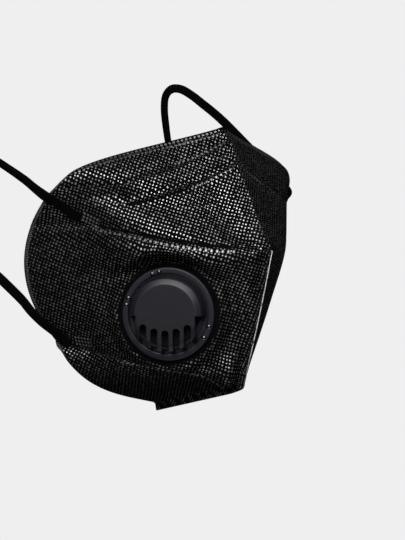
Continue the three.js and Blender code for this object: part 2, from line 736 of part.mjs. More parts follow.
const mask = new THREE.Group();
const body = shellSolid().add(seamSolid()).subtract(clothHoleSolid());
mask.add(
  part('mask_body', geometryOf(body), CLOTH),
  part('ear_loop_left', earLoop(1), ELASTIC),
  part('ear_loop_right', earLoop(-1), ELASTIC),
  part('valve_base', inValveFrame(valveBase()), MOULDED),
  part('valve_cap', inValveFrame(valveCap()), MOULDED),
  part('valve_diaphragm', inValveFrame(valveDiaphragm()), SILICONE),
  part('valve_ring', inValveFrame(valveRing()), MOULDED),
);

export default mask;
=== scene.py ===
"""A black folding respirator mask with an exhalation valve, opened as it is worn.

The model is in metres, +Z up. Shapes are worked out in millimetres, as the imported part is, and
scaled by MM when they become meshes. The wearer looks along -Y, so -X is the valve side.
"""

import math

import bpy
import numpy as np
from mathutils import Matrix, Vector


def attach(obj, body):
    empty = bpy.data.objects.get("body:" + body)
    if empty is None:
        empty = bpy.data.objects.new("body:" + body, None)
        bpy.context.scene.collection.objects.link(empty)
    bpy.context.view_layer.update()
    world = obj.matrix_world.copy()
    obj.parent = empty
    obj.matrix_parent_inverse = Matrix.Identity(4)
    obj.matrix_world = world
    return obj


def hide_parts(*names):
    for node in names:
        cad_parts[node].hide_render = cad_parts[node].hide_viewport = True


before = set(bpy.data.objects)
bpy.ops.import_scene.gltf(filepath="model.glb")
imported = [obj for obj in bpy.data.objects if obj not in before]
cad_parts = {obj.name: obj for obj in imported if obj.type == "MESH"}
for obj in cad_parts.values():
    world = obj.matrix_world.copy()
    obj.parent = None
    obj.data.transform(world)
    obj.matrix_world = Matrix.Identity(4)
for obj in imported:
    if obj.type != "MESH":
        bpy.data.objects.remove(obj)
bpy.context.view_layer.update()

MM = 0.001


# ---------------------------------------------------------------- camera, light and stage

CAMERA_AZIMUTH = math.radians(-39.5)
CAMERA_ELEVATION = math.radians(1.87)
CAMERA_DISTANCE = 1.1
CAMERA_LENS = 112.44  # millimetres, for a frame 24 high
CAMERA_SHIFT = (-0.0085, -0.0122)
CAMERA_TARGET = Vector((0, 0.0092, -0.0593))
BACKDROP = (0.863, 0.863, 0.863)


def direction(azimuth, elevation):
    """The unit vector from the object towards a viewer; azimuth 0 is a viewer in front."""
    level = math.cos(elevation)
    return Vector((
        math.sin(azimuth) * level,
        -math.cos(azimuth) * level,
        math.sin(elevation),
    ))


def look_at(obj, place, target):
    obj.location = place
    obj.rotation_euler = (Vector(target) - Vector(place)).to_track_quat("-Z", "Y").to_euler()


def add_object(name, data):
    obj = bpy.data.objects.new(name, data)
    bpy.context.scene.collection.objects.link(obj)
    return obj


def add_camera():
    data = bpy.data.cameras.new("camera")
    data.sensor_fit = "VERTICAL"
    data.sensor_height = 24
    data.lens = CAMERA_LENS
    data.shift_x, data.shift_y = CAMERA_SHIFT
    camera = add_object("camera", data)
    place = CAMERA_TARGET + CAMERA_DISTANCE * direction(CAMERA_AZIMUTH, CAMERA_ELEVATION)
    look_at(camera, place, CAMERA_TARGET)
    bpy.context.scene.camera = camera


def add_softbox(name, azimuth, elevation, distance, size, power):
    """A rectangular area light that faces the object."""
    data = bpy.data.lights.new(name, "AREA")
    data.shape = "RECTANGLE"
    data.size, data.size_y = size
    data.energy = power
    light = add_object(name, data)
    target = CAMERA_TARGET
    look_at(light, target + distance * direction(math.radians(azimuth), math.radians(elevation)), target)
    return light


def add_lights():
    add_softbox("key_softbox", -46, 27, 1.2, (0.8, 0.6), 17)
    add_softbox("top_softbox", 0, 52, 1.3, (0.5, 0.4), 3)
    add_softbox("side_strip", 31, 45, 1.4, (0.16, 0.26), 4)
    add_softbox("low_fill", -45, -56, 1.5, (1.2, 0.8), 5)
    world = bpy.data.worlds.new("world")
    bpy.context.scene.world = world
    world.use_nodes = True
    background = world.node_tree.nodes["Background"]
    background.inputs["Color"].default_value = (1, 1, 1, 1)
    background.inputs["Strength"].default_value = 0.007


def stage_material():
    """A pale wall that shows one even tone and doesn't light the object."""
    material = bpy.data.materials.new("stage")
    material.use_nodes = True
    nodes = material.node_tree.nodes
    nodes.clear()
    emission = nodes.new("ShaderNodeEmission")
    emission.inputs["Color"].default_value = (*BACKDROP, 1)
    output = nodes.new("ShaderNodeOutputMaterial")
    material.node_tree.links.new(emission.outputs[0], output.inputs["Surface"])
    return material


def add_stage():
    """A round studio: a pale floor below the mask that curves up into a wall and a ceiling."""
    radius, floor, top, bend = 4.0, -0.45, 3.2, 0.8
    bends = [math.pi / 2 * k / 8 for k in range(1, 9)]
    profile = [(0, floor), (radius - bend, floor)]
    profile += [
        (radius - bend + bend * math.sin(angle), floor + bend * (1 - math.cos(angle))) for angle in bends
    ]
    profile += [(radius, top), (0, top)]
    studio = turned("studio", profile, 64)
    studio.data.materials.append(stage_material())
    for ray in ("visible_diffuse", "visible_glossy", "visible_transmission", "visible_shadow"):
        setattr(studio, ray, False)


# ---------------------------------------------------------------- small helpers


def smooth(low, high, x):
    t = np.clip((np.asarray(x, float) - low) / (high - low), 0, 1)
    return t * t * (3 - 2 * t)


def hill(distance, reach):
    return np.exp(-((distance / reach) ** 2))


def plateau(x, low, high, shoulder):
    half = shoulder / 2
    return smooth(low - half, low + half, x) * (1 - smooth(high - half, high + half, x))


def mix(a, b, t):
    return a + (b - a) * t


def length_of(v):
    return np.sqrt((v * v).sum(-1))


def unit(v):
    return v / np.maximum(length_of(v), 1e-12)[..., None]


def make_mesh(name, points, faces, material_of_face=None, attributes=None):
    """A mesh from points in millimetres."""
    mesh = bpy.data.meshes.new(name)
    mesh.from_pydata((np.asarray(points) * MM).tolist(), [], faces)
    if material_of_face is not None:
        mesh.polygons.foreach_set("material_index", material_of_face)
    for key, values in (attributes or {}).items():
        values = np.asarray(values, np.float32)
        if values.ndim == 1:
            mesh.attributes.new(key, "FLOAT", "POINT").data.foreach_set("value", values)
        else:
            mesh.attributes.new(key, "FLOAT_VECTOR", "POINT").data.foreach_set("vector", values.ravel())
    mesh.polygons.foreach_set("use_smooth", [True] * len(mesh.polygons))
    mesh.update()
    return mesh


# ---------------------------------------------------------------- the skin of the mask

WALL = 1.5
RIDGE_ROUNDING = 2.2
SEAM_ROUNDING = 0.5

# foldY, foldZ, edgeX, edgeY, edgeZ, leave, leaveRise, leavePull, arrive, arriveRise, arrivePull
SECTION_ROWS = [
    [-2.9, 0, 61.7, 26.7, -20.2, 60.3, -0.29, 25, 43, -0.76, 9.6],
    [-18, -25.5, 67.7, 34.2, -30.4, 65, -0.23, 37, 32.3, -0.47, 26],
    [-32.6, -50.5, 66.4, 48.3, -43.3, 61, -0.13, 35, 27.7, -0.18, 38],
    [-23.8, -80, 65, 53.2, -68.1, 57, 0.08, 35.7, 27.6, 0.09, 36.3],
    [-13.4, -110.5, 50, 52.5, -93.1, 55, 0.32, 34.2, 31.7, 0.28, 33.7],
    [15.2, -116.5, 50.3, 48.4, -97.1, 68, 0.14, 26.5, 39, 0.78, 20],
    [44.9, -122.7, 47.2, 48.3, -101.7, 87, 0.23, 16.8, 82, 1.2, 12.7],
]


def section_controls(row):
    fold_y, fold_z, edge_x, edge_y, edge_z, leave, leave_rise, leave_pull = row[:8]
    arrive, arrive_rise, arrive_pull = row[8:]

    def heading(angle, rise):
        radians = math.radians(angle)
        return np.array([math.sin(radians), math.cos(radians), rise])

    fold = np.array([0, fold_y, fold_z])
    edge = np.array([edge_x, edge_y, edge_z])
    leaving = heading(leave, leave_rise) * leave_pull
    arriving = heading(arrive, arrive_rise) * arrive_pull
    return np.array([fold, fold + leaving, edge - arriving, edge])


SECTIONS = np.array([section_controls(row) for row in SECTION_ROWS])


def controls_at(level):
    """The four control points of the curve at each level, which may be an array."""
    level = np.asarray(level, float)
    span = np.minimum(np.floor(level), 2).astype(int)
    t = (level - span)[..., None, None]
    return (
        SECTIONS[2 * span] * (1 - t) * (1 - 2 * t)
        + SECTIONS[2 * span + 1] * 4 * t * (1 - t)
        + SECTIONS[2 * span + 2] * t * (2 * t - 1)
    )


def skin(level, across):
    """Points of the left half. across runs from 0 on the plane of symmetry to 1 on the edge."""
    level, across = np.broadcast_arrays(np.asarray(level, float), np.asarray(across, float))
    controls = controls_at(level)
    t = across[..., None]
    s = 1 - t
    a, b, c, d = (controls[..., k, :] for k in range(4))
    point = s ** 3 * a + 3 * s * s * t * b + 3 * s * t * t * c + t ** 3 * d
    rounding = mix(RIDGE_ROUNDING, SEAM_ROUNDING, smooth(0.8, 1, level))
    slope = (b[..., 1] - a[..., 1]) / (b[..., 0] - a[..., 0])
    point[..., 1] += slope * (np.hypot(point[..., 0], rounding) - point[..., 0])
    return point


def across_at(level, x):
    """How far across the skin a given small x is."""
    controls = controls_at(level)
    across = x / (3 * controls[..., 1, 0])
    for _ in range(6):
        s = 1 - across
        b, c, d = (controls[..., k, 0] for k in (1, 2, 3))
        value = 3 * s * s * across * b + 3 * s * across ** 2 * c + across ** 3 * d
        rate = 3 * s * s * b + 6 * s * across * (c - b) + 3 * across ** 2 * (d - c)
        across = across - (value - x) / rate
    return across


# ---------------------------------------------------------------- rows and columns

WIRE_TOP, WIRE_BOTTOM, WIRE_FALLS_TO = 0.13, 0.31, 0.6
UPPER_CREASE, LOWER_CREASE = 1, 2


def level_of(row, across):
    """The real level of a row, counted on a scale where the nose wire keeps level."""
    a = np.minimum(across, WIRE_FALLS_TO)
    top = WIRE_TOP + a * (0.34 + 0.42 * a)
    bottom = WIRE_BOTTOM + a * (0.45 + 0.4 * a)
    above = row * top / WIRE_TOP
    inside = mix(top, bottom, (row - WIRE_TOP) / (WIRE_BOTTOM - WIRE_TOP))
    below = mix(bottom, UPPER_CREASE, (row - WIRE_BOTTOM) / (UPPER_CREASE - WIRE_BOTTOM))
    panel = np.where(row <= WIRE_TOP, above, np.where(row <= WIRE_BOTTOM, inside, below))
    return np.where(row >= UPPER_CREASE, row, panel)


def spaced_rows(count):
    """Row values from 0 to 3, closer together along the edges, the wire and the creases."""
    fine = np.linspace(0, 3, 6001)
    density = 1 + 0.25 * (fine < 1)
    for at, reach, gain in (
        (0, 0.03, 3), (WIRE_TOP, 0.02, 1.5), (WIRE_BOTTOM, 0.02, 2.5), (1, 0.035, 3.5),
        (2, 0.035, 3), (3, 0.03, 3),
    ):
        density = density + gain * hill(fine - at, reach)
    summed = np.concatenate([[0], np.cumsum((density[1:] + density[:-1]) / 2)])
    rows = np.interp(np.linspace(0, summed[-1], count), summed, fine)
    for exact in (0, 1, 2, 3):
        rows[np.abs(rows - exact).argmin()] = exact
    return rows


ROWS = spaced_rows(176)
PANEL_COLUMNS = 96

# The welded seam's section at one side: x, and how far out along the plate, from 0 to 1.
SEAM_PROUD_FRONT, SEAM_PROUD_CHIN = 2.3, 3.2
SEAM_START, SEAM_FULL = 0.93, 1.04
SEAM_SECTION = [
    (0.0, 1.0), (0.24, 1.0), (0.3, 0.97), (0.48, 0.97), (0.57, 0.9), (0.58, 0.5), (0.62, 0.16), (0.85, 0.0),
]
PLAIN_X = [0.0, 0.3, 0.6, 0.9, 1.2, 1.5, 1.8, 2.1]
SEAM_COLUMNS = len(SEAM_SECTION)


def half_grid():
    """The outer face of the left half, from the middle of the seam's edge out to the free edge."""
    level_row = ROWS[:, None]
    seam_share = smooth(SEAM_START, SEAM_FULL, ROWS)
    proud = mix(SEAM_PROUD_FRONT, SEAM_PROUD_CHIN, smooth(1.9, 2.15, ROWS)) * seam_share
    fold = skin(ROWS, np.zeros_like(ROWS))
    along = np.gradient(fold, axis=0)
    outward = unit(np.stack([np.zeros(len(ROWS)), along[:, 2], -along[:, 1]], 1))
    columns = []
    for (x_seam, out), x_plain in zip(SEAM_SECTION, PLAIN_X):
        x = mix(x_plain, x_seam, seam_share)
        base = skin(ROWS, across_at(ROWS, x))
        plate = fold + outward * (proud * out)[:, None]
        plate[:, 0] = x
        share = (seam_share * min(1, out * 6))[:, None]
        columns.append(mix(base, plate, share))
    start = across_at(ROWS, mix(PLAIN_X[-1] + 0.4, SEAM_SECTION[-1][0] + 0.35, seam_share))
    t = np.linspace(0, 1, PANEL_COLUMNS)
    across = start[:, None] + (1 - start[:, None]) * (t * (0.62 + 0.38 * t))[None]
    panel = skin(level_of(level_row, across), across)
    grid = np.concatenate([np.stack(columns, 1), panel], 1)
    seam_across = np.stack([
        across_at(ROWS, mix(x_plain, x_seam, seam_share))
        for (x_seam, _), x_plain in zip(SEAM_SECTION, PLAIN_X)
    ], 1)
    return grid, np.concatenate([seam_across, across], 1), outward


def grid_normals(grid):
    down = np.gradient(grid, axis=0)
    sideways = np.gradient(grid, axis=1)
    return unit(np.cross(down, sideways))


def running(grid, axis):
    """Lengths run along the rows or down the columns."""
    steps = length_of(np.diff(grid, axis=axis))
    pad = [(0, 0), (0, 0)]
    pad[axis] = (1, 0)
    return np.cumsum(np.pad(steps, pad), axis=axis)


NORMAL_REACH = 1.6


def soft_normals(grid, reach=NORMAL_REACH):
    """Normals averaged down each column, so that an offset doesn't cross itself at a crease."""
    normals = grid_normals(grid)
    down = running(grid, 0)
    spacing = np.gradient(down, axis=0)
    near = hill(down[:, None] - down[None], reach) * spacing[None]
    return unit(np.einsum("ijk,jkc->ikc", near, normals))


PATTERN_STEP = 5
PATTERN_ROUNDS = 40


def rotated(points, turn):
    cos, sin = np.cos(turn), np.sin(turn)
    x, y = points[..., 0], points[..., 1]
    return np.stack([cos * x - sin * y, sin * x + cos * y], -1)


def own_corners(points, triangles):
    """Each triangle's corners on a flat sheet of its own, with its first side upright."""
    p, q, r = points[triangles].swapaxes(0, 1)
    along = unit(q - p)
    corners = np.zeros((len(triangles), 3, 2))
    corners[:, 1, 1] = length_of(q - p)
    corners[:, 2, 1] = ((r - p) * along).sum(1)
    corners[:, 2, 0] = length_of(r - p - along * corners[:, 2, 1, None])
    return corners


def laid_flat(points, triangles, flat):
    """The points on one flat sheet, with the triangles stretched as little as possible.

    Each round turns every triangle to fit the sheet, then moves the points to fit the triangles.
    """
    count = len(points)
    corners = own_corners(points, triangles)
    start, end = triangles.ravel(), triangles[:, [1, 2, 0]].ravel()
    edges = (corners - corners[:, [1, 2, 0]]).reshape(-1, 2)
    owner = np.repeat(np.arange(len(triangles)), 3)
    system = np.zeros((count, count))
    for i, j, sign in ((start, start, 1), (end, end, 1), (start, end, -1), (end, start, -1)):
        np.add.at(system, (i, j), sign)
    system[0, 0] += 0.001
    inverse = np.linalg.inv(system)
    for _ in range(PATTERN_ROUNDS):
        difference = flat[start] - flat[end]
        dot = np.bincount(owner, (difference * edges).sum(1))
        cross = np.bincount(owner, edges[:, 0] * difference[:, 1] - edges[:, 1] * difference[:, 0])
        turned_edges = rotated(edges, np.arctan2(cross, dot)[owner])
        pull = np.zeros((count, 2))
        np.add.at(pull, start, turned_edges)
        np.add.at(pull, end, -turned_edges)
        flat = inverse @ pull
    return flat - flat[0]


def flat_pattern(surface):
    """Where each point of a half's cloth lies in the flat cut, in mm.

    The nose ridge, along which the two halves are one piece of cloth, comes out on the
    vertical axis.
    """
    rows, columns = surface.shape[:2]
    pick_rows = np.unique([*range(0, rows, PATTERN_STEP), rows - 1])
    pick_columns = np.unique([*range(0, columns, PATTERN_STEP), columns - 1])
    picks = np.ix_(pick_rows, pick_columns)
    shape = (len(pick_rows), len(pick_columns))
    index = np.arange(shape[0] * shape[1]).reshape(shape)
    a, b, c, d = (index[i:i + shape[0] - 1, j:j + shape[1] - 1].ravel() for i in (0, 1) for j in (0, 1))
    triangles = np.concatenate([np.stack([a, c, b], 1), np.stack([b, c, d], 1)])
    first_guess = np.stack([running(surface, axis)[picks].ravel() for axis in (1, 0)], 1)
    flat = laid_flat(surface[picks].reshape(-1, 3), triangles, first_guess).reshape(*shape, 2)
    ridge = flat[int(np.abs(ROWS[pick_rows] - SEAM_START).argmin()), 0]
    flat = rotated(flat, math.atan2(ridge[0], ridge[1]))
    return np.stack([from_picks(flat[..., k], pick_rows, pick_columns, rows, columns) for k in (0, 1)], 2)


def from_picks(values, pick_rows, pick_columns, rows, columns):
    """The values of all the points, between those of the picked ones."""
    wide = np.stack([np.interp(np.arange(columns), pick_columns, row) for row in values])
    return np.stack([np.interp(np.arange(rows), pick_rows, column) for column in wide.T], 1)


# ---------------------------------------------------------------- folds, creases and dents

CREASE_DEPTH, CREASE_REACH = 0.6, 0.9
CREASE_FADE = (0.54, 0.8)  # how far across the creases and the band below fade out
BAND_HEIGHT, BAND_WIDTH, BAND_FADE = 3.0, 5.5, (6, 28)  # mm below the upper crease
SWELL_HEIGHT, SWELL_FADE = 4.2, (0.62, 0.8)
SWELL_BEYOND, SWELL_LEVEL = (48, 28), (1.12, 0.27)  # where its middle is, and its reach
WIRE_HEIGHT, WIRE_HALF_LENGTH = 0.8, 51.5
LEFT_STRENGTH, LEFT_BLEND = 0.15, 4

# beyond the plane of symmetry in mm, level, reach along in mm, reach down in levels, height in mm
DENTS = [
    [52, 0.63, 22, 0.16, -2.2],
    [15, 0.3, 7, 0.13, -0.9],
    [14, 0.54, 7, 0.14, -2.2],
    [12, 0.74, 6.5, 0.13, -2.8],
    [9.5, 0.92, 6, 0.1, -2.8],
    [9, 1.15, 4, 0.1, -1.6],
    [13, 1.38, 4, 0.13, -1.4],
    [12, 1.66, 5, 0.04, -0.8],
    [5, 1.95, 7, 0.13, 5.2],
]


def relief(row, level, across, beyond, below_upper, below_lower, right):
    """How far the cloth stands out from the plain skin, in mm."""
    along_crease = smooth(0, 8, beyond) * (1 - smooth(*CREASE_FADE, across))
    groove = -CREASE_DEPTH * (hill(below_upper, CREASE_REACH) + hill(below_lower, CREASE_REACH))
    rise = np.clip(below_upper / BAND_WIDTH, 0, 1)
    band = BAND_HEIGHT * rise * (1.3 - 0.3 * rise) * (1 - smooth(*BAND_FADE, below_upper))
    swell = SWELL_HEIGHT * hill(beyond - SWELL_BEYOND[0], SWELL_BEYOND[1])
    swell = swell * hill(level - SWELL_LEVEL[0], SWELL_LEVEL[1]) * (1 - smooth(*SWELL_FADE, across))
    wire = WIRE_HEIGHT * plateau(row, WIRE_TOP, WIRE_BOTTOM, 0.03)
    wire = wire * (1 - smooth(WIRE_HALF_LENGTH - 2, WIRE_HALF_LENGTH + 2, beyond))
    dents = sum(
        height * hill(beyond - at, reach) * hill(level - down, reach_down)
        for at, down, reach, reach_down, height in DENTS
    )
    dents = dents * mix(1, smooth(0, 5, beyond), smooth(SEAM_START, SEAM_FULL, level))
    strength = 1 if right else mix(1, LEFT_STRENGTH, smooth(0, LEFT_BLEND, beyond))
    return wire + ((groove + band) * along_crease + swell + dents) * strength


# ---------------------------------------------------------------- where the valve sits

VALVE_LEVEL, VALVE_ACROSS = 1.57, 0.36
VALVE_STAND = 1.5  # how far the cloth is pulled out under it
VALVE_HEADING, VALVE_PITCH = math.radians(48), math.radians(-1)
SEAT_FLAT, SEAT_FADE, LEAN_FADE, LEAN_CLEAR = 22.5, 27.5, 44, 22
LEAN_LOW, LEAN_HIGH = 12, 25  # heights above the valve's middle between which the lean fades


def right_point(level, across):
    return skin(level, across) * (-1, 1, 1)


def valve_axes():
    out = np.array([
        -math.sin(VALVE_HEADING) * math.cos(VALVE_PITCH),
        -math.cos(VALVE_HEADING) * math.cos(VALVE_PITCH),
        math.sin(VALVE_PITCH),
    ])
    side = unit(np.cross([0, 0, 1], out))
    return np.stack([side, np.cross(out, side), out])


VALVE_AXES = valve_axes()
VALVE_CENTRE = right_point(VALVE_LEVEL, VALVE_ACROSS) + VALVE_STAND * VALVE_AXES[2]


def to_valve(points):
    return (points - VALVE_CENTRE) @ VALVE_AXES.T


def from_valve(points):
    return points @ VALVE_AXES + VALVE_CENTRE


def seat_normal():
    step = 0.01
    along = right_point(VALVE_LEVEL, VALVE_ACROSS + step) - right_point(VALVE_LEVEL, VALVE_ACROSS - step)
    down = right_point(VALVE_LEVEL + step, VALVE_ACROSS) - right_point(VALVE_LEVEL - step, VALVE_ACROSS)
    return unit(np.cross(along, down)) @ VALVE_AXES.T


SEAT_NORMAL = seat_normal()


def seat_valve(points):
    local = to_valve(points)
    radius = np.hypot(local[..., 0], local[..., 1])
    tilt = -(SEAT_NORMAL[0] * local[..., 0] + SEAT_NORMAL[1] * local[..., 1]) / SEAT_NORMAL[2]
    lean = (1 - smooth(SEAT_FLAT, LEAN_FADE, radius)) * smooth(0, LEAN_CLEAR, -points[..., 0])
    lean = lean * (1 - smooth(LEAN_LOW, LEAN_HIGH, local[..., 1]))
    local[..., 2] = (local[..., 2] - tilt * lean) * smooth(SEAT_FLAT, SEAT_FADE, radius)
    return from_valve(local)


# ---------------------------------------------------------------- the cloth body

CLOTH, LINING, CUT = 0, 1, 2  # the order of the body's materials
CLOTH_HOLE = 13.9
BORDER = 2.4  # how wide the pressed edge of the cloth is
PRESSED_STEP, PRESSED_THINNING = 0.25, 0.35  # how much lower and thinner the cloth is there
OUTER_LAYER = 0.3  # the black layer's share of the wall
SEAM_CORE_ROW = 1.03  # the row from which the seam shows the layers inside
SEAM_PLAINNESS = 0.35  # how much fainter the dots are on the seam
VALVE_HALO = (22.0, 22.8)  # the plain ring round the flange fades out between these radii
LEFT_WELDS = 0.35  # how strongly the lines of welds show on the left half

# row, millimetres below it, from and to how far beyond the plane of symmetry, and how strongly
# the line shows: as spots if more than 0, and if less as a dark line bare of dots, which is painted
# shade in the grooves beside the wire and in the creases
WELD_AND_SHADE_LINES = [
    (WIRE_TOP - 0.012, 0, 1, 25, 0.7),
    (WIRE_TOP - 0.012, -0.3, 27, 52, -0.7),
    (WIRE_BOTTOM + 0.012, 0.1, 1, 22, 0.9),
    (WIRE_BOTTOM + 0.012, 0.5, 23, 52, -1),
    (UPPER_CREASE, 0.1, 13, 74, -1),
    (UPPER_CREASE, 1.8, 13, 74, 0.9),
    (LOWER_CREASE, 0.3, 4, 50, -0.8),
    (LOWER_CREASE, 1.7, 4, 50, 0.6),
]

# The strap's weld shows beyond its end as a small block of spots: where it begins, and the way
# it points, on the left half.
WELD_PATCHES = [
    ((56.0, 24.9, -38.4), (-0.5, -0.76, -0.42)),
    ((47.6, 42.4, -92.6), (-0.4, -0.9, -0.1)),
]
PATCH_LENGTH, PATCH_WIDTH = 8.5, 4.6


def half_surface(right):
    """One half's outer points, how far each is beyond the middle and down, and its flat place."""
    plain, across, outward = half_grid()
    panel = slice(SEAM_COLUMNS, None)
    level = level_of(ROWS[:, None], across)
    beyond = running(plain[:, SEAM_COLUMNS - 1:], 1)[:, 1:] + SEAM_SECTION[-1][0]
    down = running(plain[:, panel], 0)
    upper, lower = (int(np.abs(ROWS - crease).argmin()) for crease in (UPPER_CREASE, LOWER_CREASE))
    raised = plain.copy()
    height = relief(
        ROWS[:, None], level[:, panel], across[:, panel], beyond,
        down - down[upper], down - down[lower], right,
    )
    raised[:, panel] += soft_normals(plain)[:, panel] * height[..., None]
    # The ridge above the seam rises with the cloth beside it.
    raised[:, :SEAM_COLUMNS] += (outward * (height[:, 0] * (1 - smooth(0.9, 1, ROWS)))[:, None])[:, None]
    beyond = np.concatenate([np.zeros((len(ROWS), SEAM_COLUMNS)), beyond], 1)
    down = np.concatenate([np.repeat(down[:, :1], SEAM_COLUMNS, 1), down], 1)
    if right:
        raised = seat_valve(raised * (-1, 1, 1))
    flat = flat_pattern(raised[:, panel])
    from_middle = running(raised[:, : SEAM_COLUMNS + 1], 1)
    strip = np.repeat(flat[:, :1], SEAM_COLUMNS, 1)
    strip[..., 0] -= from_middle[:, -1:] - from_middle[:, :-1]
    flat = np.concatenate([strip, flat], 1)
    return raised, beyond, down, flat * (-1, 1) if right else flat


def inner_surface(outer, wall):
    """The inside face, one wall in. Its columns don't cross in the sharp fold."""
    side = np.sign(outer[0, -1, 0])
    inner = outer - soft_normals(outer) * (side * wall)[..., None]
    for i in range(len(outer)):
        x = inner[i, :, 0] * side
        first = SEAM_COLUMNS + 1
        while x[first] < 0.8 or x[first + 1] <= x[first]:
            first += 1
        a, b = inner[i, first], inner[i, first + 1]
        centre = a - (b - a) * (a[0] / (b[0] - a[0]))
        share = np.linspace(0, 1, first + 1)[:, None]
        inner[i, : first + 1] = mix(centre, a, share)
    return inner


def both_insides(outer, wall, middle):
    inner = np.zeros_like(outer)
    inner[:, middle:] = inner_surface(outer[:, middle:], wall[:, middle:])
    inner[:, middle::-1] = inner_surface(outer[:, middle::-1], wall[:, middle::-1])
    return inner


def from_side_edges(outer, middle):
    """How far each point is from its own half's free side edge."""
    return np.concatenate([
        running(outer[:, : middle + 1], 1),
        running(outer[:, middle:][:, ::-1], 1)[:, ::-1][:, 1:],
    ], 1)


def cell_centres(values):
    return (values[:-1, :-1] + values[1:, :-1] + values[:-1, 1:] + values[1:, 1:]) / 4


def on_valve_side(local, points):
    return (np.abs(local[..., 2]) < 3) & (points[..., 0] < 0)


def cut_valve_hole(outer, inner):
    """Draws the hole's rim onto a circle, and returns which cells lie inside it."""
    cells = cell_centres(to_valve(outer))
    cut = np.hypot(cells[..., 0], cells[..., 1]) < CLOTH_HOLE
    cut &= on_valve_side(cells, cell_centres(outer))
    rows, columns = cut.shape
    touched = np.zeros(outer.shape[:2], int)
    for di in (0, 1):
        for dj in (0, 1):
            touched[di:rows + di, dj:columns + dj] += cut
    rim = (touched > 0) & (touched < 4)
    for surface in (outer, inner):
        place = to_valve(surface[rim])
        scale = CLOTH_HOLE / np.hypot(place[:, 0], place[:, 1])
        place[:, :2] *= scale[:, None]
        surface[rim] = from_valve(place)
    return cut


def corners_of(index, i, j):
    return index[i, j], index[i, j + 1], index[i + 1, j], index[i + 1, j + 1]


def sheet_faces(index, cut, middle):
    """The outer and inner faces of every cell that the hole leaves, with their materials."""
    inside = index.size
    for i, j in np.argwhere(~cut):
        a, b, c, d = corners_of(index, i, j)
        core = abs(j + 0.5 - middle) < 1 and ROWS[i] > SEAM_CORE_ROW
        yield (a, c, d, b), CUT if core else CLOTH
        yield (a + inside, b + inside, d + inside, c + inside), LINING


def hole_faces(index, cut):
    inside = index.size
    for i, j in np.argwhere(cut):
        a, b, c, d = corners_of(index, i, j)
        sides = [((b, a), (i - 1, j)), ((c, d), (i + 1, j)), ((a, c), (i, j - 1)), ((d, b), (i, j + 1))]
        for (p, q), neighbour in sides:
            if not cut[neighbour]:
                yield (p, q, q + inside, p + inside), CUT


def edge_faces(ring, inside, layer):
    """Round the free edge: the black outer layer, and below it the white layers."""
    for k, a in enumerate(ring):
        after = (k + 1) % len(ring)
        b, m, n = ring[after], layer + k, layer + after
        yield (a, b, n, m), CLOTH
        yield (m, n, b + inside, a + inside), CUT


def build_body():
    left, beyond, down, flat_left = half_surface(False)
    right, _, _, flat_right = half_surface(True)

    def joined(right_values, left_values):
        """Columns from the right free edge to the left one; the middle one is shared."""
        return np.concatenate([right_values[:, :0:-1], left_values], 1)

    outer, flat = joined(right, left), joined(flat_right, flat_left)
    beyond, down = joined(beyond, beyond), joined(down, down)
    middle = left.shape[1] - 1
    column = np.arange(outer.shape[1])
    on_seam = np.abs(column - middle)[None] <= SEAM_COLUMNS

    side_in = from_side_edges(outer, middle)
    chin_in = down[-1] - down
    edge_in = np.minimum(np.minimum(side_in, down), chin_in)
    pressed = 1 - smooth(BORDER - 0.5, BORDER + 0.1, edge_in)
    outer = outer - grid_normals(outer) * (PRESSED_STEP * pressed * ~on_seam)[..., None]
    inner = both_insides(outer, WALL - PRESSED_THINNING * pressed, middle)
    local = to_valve(outer)
    seat_radius = np.where(on_valve_side(local, outer), np.hypot(local[..., 0], local[..., 1]), 999)
    cut = cut_valve_hole(outer, inner)

    index = np.arange(down.size).reshape(down.shape)
    ring = np.concatenate([index[0, :-1], index[:-1, -1], index[-1, :0:-1], index[:0:-1, 0]])
    points = np.concatenate([outer.reshape(-1, 3), inner.reshape(-1, 3)])
    layer = mix(points[ring], points[ring + index.size], OUTER_LAYER)
    faces = [
        *sheet_faces(index, cut, middle), *hole_faces(index, cut),
        *edge_faces(ring, index.size, len(points)),
    ]
    kinds = [kind for _, kind in faces]
    faces = [tuple(int(k) for k in face) for face, _ in faces]

    def spread(*fields):
        """Each field's values at the outer points, the inner ones and those of the edge."""
        flattened = [np.broadcast_to(field, down.shape).reshape(-1) for field in fields]
        return np.stack([np.concatenate([values, values, values[ring]]) for values in flattened], 1)

    seam_zone = on_seam & (ROWS[:, None] > SEAM_FULL)
    pressed = pressed * ~seam_zone
    plain = np.maximum(np.maximum(pressed, SEAM_PLAINNESS * seam_zone), 1 - smooth(*VALVE_HALO, seat_radius))
    on_right = column < middle
    beside = (side_in < np.minimum(down, chin_in)) | seam_zone
    edge_along = np.where(beside, down, np.where(on_right, -1, 1) * beyond)
    top = (1 - smooth(-0.5, 0.5, down - np.minimum(side_in, chin_in) - 3)) * ~seam_zone
    shown = np.where(on_right, 1, LEFT_WELDS)[None]
    return make_mesh("mask_cloth", np.concatenate([points, layer]), faces, kinds, {
        "fabric": spread(flat[..., 0], flat[..., 1], seam_zone),
        "border": spread(edge_along, edge_in, pressed),
        "top": spread(top)[:, 0],
        "plain": spread(plain)[:, 0],
        "welds_and_shade": spread(*weld_and_shade_lines(down, beyond, shown)),
        "patches": spread(*np.moveaxis(weld_patches(outer), -1, 0)),
    })


